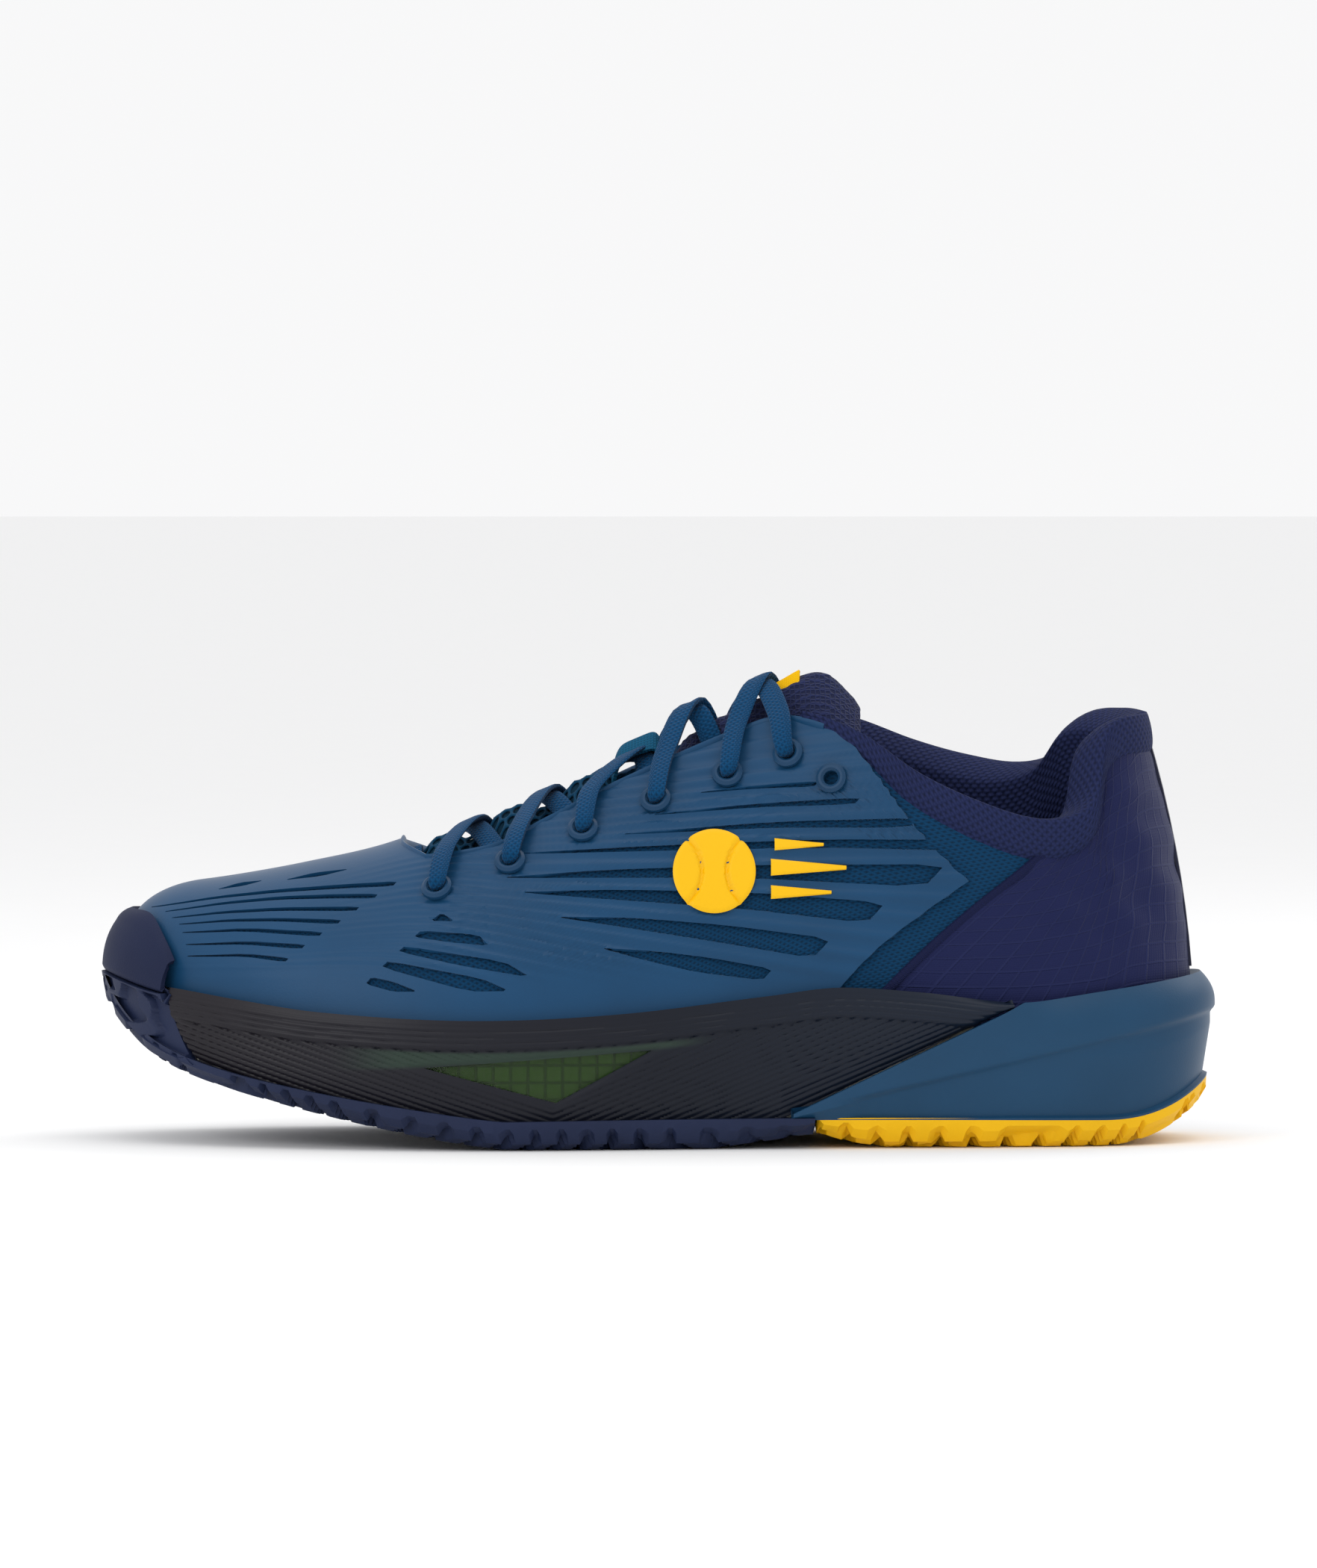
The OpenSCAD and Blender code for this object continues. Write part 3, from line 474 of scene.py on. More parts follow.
warm = frame_plastic.ramp(frame_plastic.math("MULTIPLY_ADD", along.outputs[0], 3.4), toe_to_heel)
blend = frame_plastic.node("ShaderNodeMix", data_type="RGBA")
frame_plastic.link(tint, blend.inputs["Factor"])
frame_plastic.link(warm, blend.inputs[6])
blend.inputs[7].default_value = (0.022, 0.040, 0.030, 1)
frame_plastic.link(blend.outputs[2], frame_plastic.shader.inputs["Base Color"])
carrier_plastic = grained("carrier_plastic", (0.009, 0.055, 0.124), 0.42, 2.0, 0.03, 0.85)
lens_plastic = grained("window_plastic", (0.03, 0.06, 0.02), 0.15, 2.0, 0.02, 0.9, Alpha=0.3)
gel = Finish("green_gel", (0.035, 0.10, 0.006), 0.35, Coat_Weight=0.3)
gel_lines = gel.grid(4.6, [(0.9, 0), (0.97, 1)])
gel.tone(gel_lines, [(0, (0.035, 0.10, 0.006)), (1, (0.008, 0.028, 0.003))])
gel.raise_by(gel_lines, -0.3)
lace_weave = woven("lace_weave", (0.001, 0.060, 0.165), 0.8, 1.0, 45, 0.25, 0.4, Sheen_Weight=0.06)
open_mesh = woven("spacer_yarn", (0.002, 0.072, 0.165), 0.75, 0.6, 45, 0.1, 0.6, Sheen_Weight=0.05)
mesh_back = grained("spacer_back", (0.003, 0.03, 0.06), 0.85, 1.0, 0.1, 0.6)
ring_plastic = grained("eyelet_plastic", (0.008, 0.048, 0.115), 0.38, 2.0, 0.02, 0.85)
aglet_plastic = grained("aglet_plastic", (0.01, 0.06, 0.12), 0.25, 1.0, 0.01, 0.8)
emblem_film = grained("emblem_film", YELLOW, 0.45, 2.0, 0.015, 0.95)
label_weave = woven("label_weave", YELLOW, 0.7, 0.6, 0, 0.06, 0.8)
piping = woven("piping_twill", (0.008, 0.012, 0.055), 0.7, 0.8, 45, 0.12, 0.55)
strip_plastic = grained("strip_plastic", (0.012, 0.014, 0.04), 0.4, 2.0, 0.02, 0.8)
webbing = woven("keeper_webbing", (0.006, 0.1, 0.2), 0.75, 0.9, 0, 0.2, 0.45)
liner_knit = knitted("sockliner_knit", (0.03, 0.034, 0.12), 0.85, 1.1, 0.1, 0.55, Sheen_Weight=0.08)
foam = grained("midsole_foam", (0.7, 0.7, 0.64), 0.8, 1.0, 0.1, 0.9)
board = grained("insole_board", (0.62, 0.6, 0.5), 0.9, 0.5, 0.1, 0.85)
plate_plastic = grained("shank_plate", (0.03, 0.035, 0.045), 0.35, 1.5, 0.02, 0.7)

# ---- the upper's layers ---------------------------------------------------------------
# Flow lines of the moulded ribs: height at stations along the shoe, from the lip up.
FLOW = [
    [(-150, 40), (-100, 41), (-77, 40), (-50, 34), (0, 24), (90, 10)],
    [(-150, 46.5), (-100, 48.5), (-73, 48.5), (-40, 42.5), (10, 34), (90, 20)],
    [(-150, 49), (-100, 51.5), (-68, 53), (-34, 46), (20, 37), (90, 25)],
    [(-150, 51), (-100, 54.5), (-64, 57), (-45, 54.5), (0, 45), (90, 29)],
    [(-150, 53), (-100, 57.5), (-60, 61), (-14, 53.3), (19, 46.5), (90, 33)],
    [(-150, 55), (-100, 60), (-60, 64.5), (-25.5, 61.5), (43, 52.5), (90, 46)],
    [(-150, 57), (-100, 62.5), (-60, 69), (-35, 68), (58, 62), (90, 59)],
    [(-150, 59), (-100, 65), (-60, 72.5), (-40, 71.8), (73, 72), (90, 72)],
    [(-150, 61), (-100, 67.5), (-60, 76), (-36.8, 77.8), (83, 80.4), (90, 80.5)],
    [(-150, 62.5), (-100, 69.5), (-60, 79), (-8.6, 83), (68.6, 86.1), (90, 87)],
    [(-150, 64), (-100, 71), (-60, 82), (-.6, 88.1), (53, 91.7), (90, 94)],
    [(-150, 65.5), (-100, 73), (-60, 86), (11.7, 93.9), (42, 96.1), (90, 100)],
    [(-150, 67), (-100, 75), (-60, 90), (0, 98), (40, 104), (90, 110)],
    [(-150, 69), (-100, 78), (-60, 95), (0, 106), (40, 114), (90, 122)],
]


def flow_at(x, z):
    """The flow line at a point of the side view, as a number that runs on between lines, and the lines' spacing there."""
    lines = np.stack([smooth_curve(f, x) for f in FLOW])
    out, gap = np.zeros_like(x), np.zeros_like(x)
    for k in range(len(FLOW) - 1):
        t = (z - lines[k]) / (lines[k + 1] - lines[k])
        out = np.where(t >= 0, k + np.clip(t, 0, 1), out)
        gap = np.where(t >= 0, lines[k + 1] - lines[k], gap)
    return out, gap


# Slots through the skin in the side view, each an outline.
def bar_slot(points, widths):
    """A slot along a centreline, with a width at each point; its far end is cut on a slant."""
    p, w = np.array(points, float), np.array(widths, float)
    return [(x, z + a / 2) for (x, z), a in zip(p, w)] + [(x - a * 0.9, z - a / 2) for (x, z), a in zip(p[::-1], w[::-1])]


SLOTS = [
    bar_slot([(-136, 62.3), (-118, 65.4), (-100.7, 67.4), (-84, 68.7), (-69.5, 69.6)], [.3, .7, .9, 1.1, 1.3]),
    bar_slot([(-132, 61.4), (-116, 64.0), (-100.7, 65.6), (-86, 66.2), (-74.5, 66.4)], [.3, .7, .9, 1.1, 1.2]),
    bar_slot([(-130, 59.9), (-116, 61.7), (-100.7, 62.8), (-79.4, 63.1)], [.3, .7, .9, 1.2]),
    bar_slot([(-128, 58.3), (-114, 59.7), (-100.7, 60.1), (-84.2, 59.7)], [.3, .7, .9, 1.2]),
    bar_slot([(-127, 56.2), (-109.5, 57.4), (-89.1, 56.5)], [.3, .9, 1.2]),
    bar_slot([(-126, 53.1), (-109.5, 54.0), (-93.7, 53.2)], [.3, .9, 1.2]),
    bar_slot([(-125.5, 50.1), (-109.5, 50.8), (-98.1, 49.7)], [.3, .8, 1.1]),
    [(-118.8, 67.2), (-112, 69.2), (-105.4, 69.9), (-111, 68.4)],
    [(-100.7, 69.9), (-92, 72.0), (-82, 73.2), (-90, 71.2)],
    [(-60.4, 60.2), (-57.5, 62.3), (-53.9, 60.2)],
    [(-64.8, 56.0), (-62.9, 57.7), (-47.7, 56.7), (-44.6, 53.8), (-56, 54.8)],
    [(-68.9, 52.2), (-67.2, 53.7), (-40.7, 49.7), (-33.6, 45.6), (-52, 48.6)],
    [(-73.4, 48.1), (-71.5, 49.8), (-46.6, 45.3), (-39.2, 42.0), (-50, 41.9)],
    [(-77.6, 43.7), (-76, 45.5), (-70.3, 44.4), (-63.5, 41.8), (-70.1, 41.7)],
    bar_slot([(11.7, 93.9), (27, 95.4), (43, 96.3)], [.3, .9, 1.5]),
    bar_slot([(-.6, 88.1), (25, 90.4), (54, 91.9)], [.3, 1.0, 1.8]),
    bar_slot([(-8.6, 83.0), (30, 85.4), (69.5, 86.2)], [.3, 1.6, 2.6]),
    bar_slot([(-36.8, 77.8), (0, 79.3), (45, 80.6), (83.5, 80.2)], [.3, 1.4, 2.2, 3.0]),
    bar_slot([(-40, 71.6), (-15, 72.6), (25, 73.2), (76.5, 72.2)], [.3, 2.0, 3.4, 6.0]),
    bar_slot([(-35.2, 67.8), (-10, 67.2), (25, 65.6), (60.5, 62.3)], [.3, 2.6, 4.2, 5.4]),
    bar_slot([(-25.5, 61.3), (-6, 59.8), (18, 57.0), (46, 52.9)], [.3, 2.6, 4.2, 5.2]),
    bar_slot([(-14, 53.1), (0, 51.0), (14, 48.6), (30.5, 46.0)], [.3, 2.6, 3.8, 3.0]),
]


def end_of_skin(v):
    return np.where(v < .68, mix(34, 86, v / .68), mix(86, 50, (v - .68) / .32))


def side_grid(side, xs, shares, depth, end=None):
    """Points of one side of the upper from the base to the topline or the crown of the toe."""
    X = np.broadcast_to(np.asarray(xs, float)[:, None], (len(xs), len(shares))) if end is None else end
    V = np.broadcast_to(np.asarray(shares, float)[None, :], X.shape)
    s = np.full(X.shape, side, float)
    edge = edge_angle(X, s)
    # Ahead of the throat the last columns run on over the crown.
    ang = np.where(V <= 1, edge * V, mix(edge, 90, V - 1))
    d = depth(X, V) if callable(depth) else depth
    return upper_point(X, s, ang, d)


def toe_to_seam(count_toe, count_quarter, end_x):
    """Base positions from the toe to a slanted end, one row for each share."""
    phi = turn(THROAT) * np.linspace(0, 1, count_toe + 1)
    front = np.broadcast_to(at_turn(phi)[:, None], (count_toe + 1, len(end_x)))
    t = np.linspace(0, 1, count_quarter + 1)[1:, None]
    return np.concatenate([front, mix(THROAT, np.asarray(end_x)[None, :], t)])


def round_throat(X, shares):
    """Stops the crown of a vamp grid on the throat's rounded front. Gives the new stations and the cells that are cloth."""
    t = np.broadcast_to(shares, X.shape) - 1
    front = THROAT + 7.5 * np.maximum(0, 1 - t / .62) ** 2
    crown = t > 0
    past = crown & (X >= front)
    pairs = past[:-1] & past[1:]
    keep = ~(pairs[:, 1:] & (pairs[:, :-1] | ~crown[:-1, :-1]))
    return np.where(past, front, X), keep


def rib_relief(P, V):
    """Raised lines that follow the flow lines, fading at the lip, the toe and the eyestay's edge."""
    F, gap = flow_at(P[..., 0], P[..., 2])
    r = 0.5 + 0.5 * np.cos(F * 2 * 2 * np.pi)
    fade = ease((P[..., 2] - 43) / 8) * ease((P[..., 0] + 142) / 25) * ease((1.12 - V) / .2 + (P[..., 0] < -70))
    fade = fade * (0.3 + 0.7 * ease((P[..., 0] + 75) / 30)) * ease((gap - 2.2) / 2.4)
    return (r ** 1.5) * 0.75 * fade


def make_skin():
    low = np.linspace(0.1, 1, 105)
    crown = np.linspace(1, 2, 19)[1:]
    shares = np.concatenate([low, crown])
    ends = end_of_skin(np.minimum(shares, 1))
    X, cloth = round_throat(toe_to_seam(66, 102, ends), shares)
    rows, cols = X.shape
    grids, keeps = [], []
    for side in (LATERAL, MEDIAL):
        P = side_grid(side, None, shares, 0.0, X)
        relief = rib_relief(P, np.broadcast_to(shares, X.shape))
        V = np.broadcast_to(shares, X.shape)
        lip = edge_angle(X, np.full(X.shape, side))
        ang = np.where(V <= 1, lip * V, mix(lip, 90, V - 1))
        P = upper_point(X, np.full(X.shape, side, float), ang, 0.35 - relief)
        keep = np.ones((rows - 1, cols - 1), bool)
        keep &= cloth
        if side == MEDIAL:
            P, keep = P[:, ::-1], keep[:, ::-1]
        grids.append(P)
        keeps.append(keep)
    P = np.concatenate([grids[0], grids[1][:, 1:]], 1)
    keep = np.concatenate(keeps, 1)
    skin = sheet_piece("moulded_skin", P, keep, 0)
    cut_slots(skin)
    wall = skin.modifiers.new("wall", "SOLIDIFY")
    wall.thickness = .95 * MM
    wall.offset = -1
    wall.use_even_offset = False
    apply_all(skin)
    smooth(skin, 40)
    return finish_piece(skin, skin_finish.material, stands_for=["upper_skin"])


def inside_outline(p, x, z):
    inside = False
    for (x0, z0), (x1, z1) in zip(p, np.roll(p, -1, 0)):
        if (z0 > z) != (z1 > z) and x < x0 + (x1 - x0) * (z - z0) / (z1 - z0):
            inside = not inside
    return inside


def smooth_outline(outline, rounds=1):
    """Corners of an outline cut back, as a moulded slot's are."""
    p = np.array(outline, float)
    for _ in range(rounds):
        q = np.roll(p, -1, 0)
        p = np.stack([p * .85 + q * .15, p * .15 + q * .85], 1).reshape(-1, 2)
    return p


def nearby(bm):
    """Every face of a mesh with its centre in millimetres."""
    faces = list(bm.faces)
    return faces, np.array([f.calc_center_median()[:] for f in faces]) / MM


def score(bm, region, planes):
    """Bisects a set of faces by planes, each with the test that picks the faces it may cut."""
    for co, normal, may_cut in planes:
        geom = set()
        for f in region:
            if f.is_valid and may_cut(f.calc_center_median()):
                geom.add(f)
                geom.update(f.edges)
                geom.update(f.verts)
        if geom:
            cut = bmesh.ops.bisect_plane(bm, geom=list(geom), dist=2e-6, plane_co=co, plane_no=normal)
            region.update(g for g in cut["geom"] if isinstance(g, bmesh.types.BMFace))
    return [f for f in region if f.is_valid]


def cut_outline(bm, outline, side, found):
    """Cuts an outline of the side view through one side of a sheet and deletes what lies inside."""
    faces, centres = found
    lo, hi = outline.min(0) - 1.5, outline.max(0) + 1.5
    near = ((centres[:, 0] > lo[0]) & (centres[:, 0] < hi[0]) & (centres[:, 2] > lo[1]) & (centres[:, 2] < hi[1])
            & (centres[:, 1] * side > 0))
    planes = []
    for p, q in zip(outline, np.roll(outline, -1, 0)):
        size = float(np.hypot(*(q - p)))
        if size < .02:
            continue
        d = (q - p) / size

        def close(c, p=p, d=d, size=size):
            vx, vz = c.x / MM - p[0], c.z / MM - p[1]
            return -.9 < vx * d[0] + vz * d[1] < size + .9 and abs(vx * d[1] - vz * d[0]) < .9

        planes.append(((p[0] * MM, 0, p[1] * MM), (-d[1], 0, d[0]), close))
    region = score(bm, {faces[i] for i in np.flatnonzero(near) if faces[i].is_valid}, planes)
    centre = {f: f.calc_center_median() / MM for f in region}
    bmesh.ops.delete(bm, geom=[f for f, c in centre.items() if inside_outline(outline, c.x, c.z)], context="FACES")


def cut_round(bm, at, n, radius, found):
    """Cuts a round hole through a sheet."""
    faces, centres = found
    a = np.cross(n, [1, 0, 0])
    a = a / np.linalg.norm(a)
    b = np.cross(n, a)
    near = np.flatnonzero(np.linalg.norm(centres - at, axis=1) < radius + 1.6)
    ways = [a * math.cos(t) + b * math.sin(t) for t in np.linspace(0, 2 * math.pi, 16, False)]
    planes = [(Vector(at + w * radius) * MM, Vector(w), lambda c: True) for w in ways]
    region = score(bm, {faces[i] for i in near if faces[i].is_valid}, planes)
    gone = []
    for f in region:
        d = np.array(f.calc_center_median()[:]) / MM - at
        if np.hypot(d @ a, d @ b) < radius:
            gone.append(f)
    bmesh.ops.delete(bm, geom=gone, context="FACES")


def cut_slots(skin):
    bm = bmesh.new()
    bm.from_mesh(skin.data)
    found = nearby(bm)
    for outline in SLOTS:
        for side in (LATERAL, MEDIAL):
            cut_outline(bm, smooth_outline(outline), side, found)
    found = nearby(bm)
    for k in range(7):
        for side in (LATERAL, MEDIAL):
            at, n = eyelet_frame(k, side)
            cut_round(bm, at, n, 2.9, found)
    bmesh.ops.remove_doubles(bm, verts=bm.verts, dist=2e-5)
    bmesh.ops.dissolve_degenerate(bm, dist=1e-5, edges=bm.edges)
    bm.to_mesh(skin.data)
    bm.free()


EYELETS = [(-59, 68.5), (-39.3, 75.5), (-19.9, 84), (-.5, 91.7), (18.7, 98.6), (35, 104), (46.6, 97.6)]


def eyelet_xz(k, side):
    return EYELETS[k][0] / SCALE, EYELETS[k][1] + (.5 if side == MEDIAL else 0)


def eyelet_frame(k, side):
    x, z = eyelet_xz(k, side)
    return spot(x, z, side), outward(x, z, side)


def make_textile():
    shares = np.concatenate([np.linspace(0.1, 1, 30), np.linspace(1, 2, 19)[1:]])
    ends = mix(48, 117, np.minimum(shares, 1)) + 1.0
    X, cloth = round_throat(toe_to_seam(30, 110, ends), shares)
    parts, keeps = [], []
    for side in (LATERAL, MEDIAL):
        P = side_grid(side, None, shares, 1.45, X)
        keep = np.ones((X.shape[0] - 1, X.shape[1] - 1), bool)
        keep &= cloth
        if side == MEDIAL:
            P, keep = P[:, ::-1], keep[:, ::-1]
        parts.append(P)
        keeps.append(keep)
    P = np.concatenate([parts[0], parts[1][:, 1:]], 1)
    cloth = sheet_piece("teal_textile", P, np.concatenate(keeps, 1), 1.0)
    return finish_piece(cloth, textile_finish.material, stands_for=["upper_textile"])


def make_heel_quarter():
    """Navy ripstop round the heel, with soft upright wrinkles."""
    shares = np.linspace(0.12, 1, 60)
    ends = mix(48, 117, shares)
    half_steps = 60
    phi0 = turn(ends)
    phis = phi0[None, :] + (180 - phi0)[None, :] * np.linspace(0, 1, half_steps + 1)[:, None]
    X = at_turn(phis)
    both = []
    for side in (LATERAL, MEDIAL):
        V = np.broadcast_to(shares, X.shape)
        base = side_grid(side, None, shares, 0.0, X)
        z = base[..., 2]
        x = base[..., 0]
        wrinkle = (np.sin(x * .42 + z * .11 + 1.5 * np.sin(z * .09)) * .5 + np.sin(x * .23 - z * .31 + 2) * .35
                   + np.sin(z * .55 + x * .1) * .3)
        amount = .75 * ease((x - 88) / 20) * ease((z - 48) / 12) * ease((1 - V) / .2)
        puff = 1.1 * ease((1 - V) / .5) * ease((V - .25) / .4)
        both.append(side_grid(side, None, shares, 1.0 - wrinkle * amount - puff * .5, X))
    P = np.concatenate([both[0], both[1][::-1][1:]], 0)
    cloth = sheet_piece("ripstop_quarter", P, None, 1.0)
    return finish_piece(cloth, ripstop.material, stands_for=["heel_quarter"])


def make_binding():
    """A soft moulded edge that wraps the vamp's and eyestay's layers round the throat."""
    rows = []
    back = np.linspace(47, THROAT + 7.5, 90)
    for side in (LATERAL, MEDIAL):
        s = np.full(back.shape, side, float)
        run = [(back, edge_angle(back, s), s)]
        t = np.linspace(0, 1, 24)[1:]
        x = THROAT + 7.5 * np.maximum(0, 1 - t / .62) ** 2
        sc = np.full(x.shape, side, float)
        run.append((x, mix(edge_angle(x, sc), 90, t), sc))
        X, A, S = (np.concatenate([r[i] for r in run]) for i in range(3))
        rows.append((X, A, S))
    X = np.concatenate([rows[0][0], rows[1][0][::-1][1:]])
    A = np.concatenate([rows[0][1], rows[1][1][::-1][1:]])
    S = np.concatenate([rows[0][2], rows[1][2][::-1][1:]])
    mid = upper_point(X, S, A, 2.5)
    along = np.gradient(mid, axis=0)
    along /= np.linalg.norm(along, axis=1, keepdims=True)
    out = upper_point(X, S, A, 0.0) - upper_point(X, S, A, 5.0)
    out -= (out * along).sum(1, keepdims=True) * along
    out /= np.linalg.norm(out, axis=1, keepdims=True)
    inward = np.cross(along, out)
    toward = np.stack([0 * mid[:, 0] + .5, spine_y(mid[:, 0]) - mid[:, 1], 0 * mid[:, 0] + 1.0], -1)
    inward *= np.sign((inward * toward).sum(1, keepdims=True))
    t = np.linspace(0, 2 * np.pi, 15)[:-1]
    ring = (mid[:, None] + out[:, None] * (np.cos(t) * 2.75)[None, :, None]
            + inward[:, None] * (np.sin(t) * .95 - .3)[None, :, None])
    piece = new_mesh("throat_binding", ring.reshape(-1, 3), [list(f) for f in grid_faces(len(X), 14, close=True)]
                     + [list(range(14)), list(range((len(X) - 1) * 14, len(X) * 14))])
    pick(piece)
    bpy.ops.object.mode_set(mode="EDIT")
    bpy.ops.mesh.select_all(action="SELECT")
    bpy.ops.mesh.normals_make_consistent(inside=False)
    bpy.ops.object.mode_set(mode="OBJECT")
    smooth(piece, 60)
    finish_piece(piece, skin_finish.material)


def make_seams():
    """A raised bonded edge where the ripstop meets the textile."""
    for side, name in ((LATERAL, "lateral"), (MEDIAL, "medial")):
        v = np.linspace(.2, 1, 60)
        x = mix(48, 117, v)
        s = np.full(v.shape, side, float)
        ang = edge_angle(x, s) * v
        rows = [upper_point(x + o, s, ang, d) for o, d in ((-1.6, 1.3), (-1.2, .75), (0, .6), (1.2, .75), (1.6, 1.3))]
        P = np.stack(rows, 1)
        if side == MEDIAL:
            P = P[:, ::-1]
        edge = sheet_piece("seam_edge_" + name, P, None, .5)
        finish_piece(edge, piping.material)


def collar_path(count):
    """Base positions along the topline from the eyestay's top to the heel."""
    a = turn(40.0)
    return at_turn(np.linspace(a, 180, count))


def make_collar():
    """The padded collar: its rolled top, its outer edge and the lining down to the footbed."""
    halves = []
    count = 70
    profile = 46
    for side in (LATERAL, MEDIAL):
        x = collar_path(count)
        s = np.full(x.shape, side, float)
        edge = edge_angle(x, s)
        fat = 1.2 + 5.0 * ease((x - 52) / 50)
        band = .9 + 2.2 * ease((x - 44) / 25)
        t = np.linspace(0, 1, profile)
        cols = []
        for u in t:
            if u < .2:                        # the outer band below the edge, from under the quarter
                w = u / .2
                depth = mix(1.5, -1.5, np.sin(w * math.pi / 2) ** .45)
                p = upper_point(x, s, np.maximum(edge - band * (1 - w), 0), depth)
            elif u < .45:                     # over the roll
                w = (u - .2) / .25 * math.pi
                thick = 4.9 + fat
                depth = mix(-1.5, thick, (1 - math.cos(w)) / 2)
                p = upper_point(x, s, edge, depth)
                p[..., 2] += math.sin(w) * 2.0
            else:                             # down the inside
                w = (u - .45) / .55
                full = 1 - ease((w - .15) / .5)
                depth = 4.9 + fat * full
                ang = edge * (1 - w * .93)
                p = upper_point(x, s, ang, depth)
            cols.append(p)
        halves.append(np.stack(cols, 1))
    P = np.concatenate([halves[0], halves[1][::-1][1:]], 0)
    pad = sheet_piece("padded_collar", P, None, .8)
    finish_piece(pad, collar_knit.material, stands_for=["collar_foam"])
    return pad


def make_lining():
    """The lining of the vamp and waist, ahead of the collar."""
    shares = np.concatenate([np.linspace(0.02, .985, 24), np.linspace(1, 2, 18)])
    ends = np.full(shares.shape, 62.0)
    X, cloth = round_throat(toe_to_seam(24, 100, ends), shares)
    parts, keeps = [], []
    for side in (LATERAL, MEDIAL):
        P = side_grid(side, None, shares, 4.15, X)
        keep = np.ones((X.shape[0] - 1, X.shape[1] - 1), bool)
        keep &= cloth
        if side == MEDIAL:
            P, keep = P[:, ::-1], keep[:, ::-1]
        parts.append(P)
        keeps.append(keep)
    P = np.concatenate([parts[0], parts[1][:, 1:]], 1)
    cloth = sheet_piece("vamp_lining", P, np.concatenate(keeps, 1), .9)
    return finish_piece(cloth, lining_knit.material, stands_for=["upper_lining"])


# ---- the sole -------------------------------------------------------------------------
def wall_grid(phi, low, high, rows, outside, side=None):
    """Points up a wall round the sole; outside(v, x, z) is how far in from the edge."""
    side = np.where(np.sin(np.radians(phi)) >= 0, LATERAL, MEDIAL) if side is None else side
    v = np.linspace(0, 1, rows)
    V = np.broadcast_to(v, (phi.shape[0], rows))
    PHI = phi if phi.ndim == 2 else np.broadcast_to(phi[:, None], V.shape)
    S = np.broadcast_to(np.asarray(side)[..., None] if np.ndim(side) == 1 else side, V.shape).astype(float)
    x = at_turn(PHI)
    bx, _ = rim(x, S, 2.0)
    Z = mix(low(bx), high(bx), V)
    px, py = rim(x, S, outside(V, bx, Z))
    return np.stack([px, py, Z], -1)


def ridge(t):
    """A round-topped ridge, one for each whole number."""
    return np.abs(np.sin(np.pi * t)) ** .7


WINDOW = np.array([(-62, 21.9), (-27, 12.6), (-1.5, 26.4)])


def frame_relief(x, z):
    """How far the side frame's surface lies in from its plain shape."""
    lip = feather_z(x)
    band = lip - 8.2
    upper = ease((z - band) / .8)
    across = (1 - ridge((lip - z) / 1.5)) * .3
    left = (x + 27.9) < 0
    slant = np.where(left, (z - 9.3) * .95 - (-(x + 27.9)) * .33, (z - 9.3) * .95 - (x + 27.9) * .40)
    down = (1 - ridge(slant / 1.55)) * .42
    step = .75
    # The ribs below run to a point under the window, and a plain bevelled border frames it.
    far = np.full(np.shape(x), -1e9)
    for p, q in zip(WINDOW, np.roll(WINDOW, -1, 0)):
        d = (q - p) / np.hypot(*(q - p))
        far = np.maximum(far, (x - p[0]) * d[1] - (z - p[1]) * d[0])
    plain = 1 - ease((far - 1.0) / .8)
    down = mix(down, .25 + .5 * ease((1.3 - far) / 1.3), plain)
    return upper * across * ease((lip - 1.2 - z) / 1.0) + (1 - upper) * (down + step)


def make_side_frames():
    rows = 84
    for side, name in ((LATERAL, "lateral"), (MEDIAL, "medial")):
        v = np.linspace(0, 1, rows)
        front = turn(mix(-124, -132.5, v ** .6))
        back = turn(95.0)
        count = 460
        phi = front[None, :] + (back - front[None, :]) * np.linspace(0, 1, count)[:, None]
        low = lambda x: np.where(x < CARRIER_X, sole_top(x) - .5, carrier_z(x) - .3)
        bulge = lambda V, x, Z: .3 + 2.2 * (2 * V - 1) ** 2 + frame_relief(x, Z)
        P = wall_grid(phi, low, feather_z, rows, bulge, side=side)
        keep = np.ones((count - 1, rows - 1), bool)
        if side == MEDIAL:
            P, keep = P[:, ::-1], keep[:, ::-1]
        piece = sheet_piece("side_frame_" + name, P, keep, 0)
        if side == LATERAL:
            bm = bmesh.new()
            bm.from_mesh(piece.data)
            cut_outline(bm, WINDOW, LATERAL, nearby(bm))
            bm.to_mesh(piece.data)
            bm.free()
        wall = piece.modifiers.new("wall", "SOLIDIFY")
        wall.thickness = 2.2 * MM
        wall.offset = -1
        wall.use_even_offset = False
        apply_all(piece)
        smooth(piece, 40)
        tint = piece.data.attributes.new("tint", "FLOAT", "POINT")
        co = np.zeros(len(piece.data.vertices) * 3)
        piece.data.vertices.foreach_get("co", co)
        x, z = co[0::3] / MM, co[2::3] / MM
        band = (ease((z - mix(20.5, 25.0, (x + 62) / 60) - 1.2 * np.abs(x + 30) / 40) / 1.5)
                * ease((feather_z(x) - 8.0 - z) / 1.0))
        tint.data.foreach_set("value", (band * ease((x + 88) / 22) * ease((16 - x) / 16)).astype(np.float32))
        finish_piece(piece, frame_plastic.material, stands_for=["sidewall_" + name])


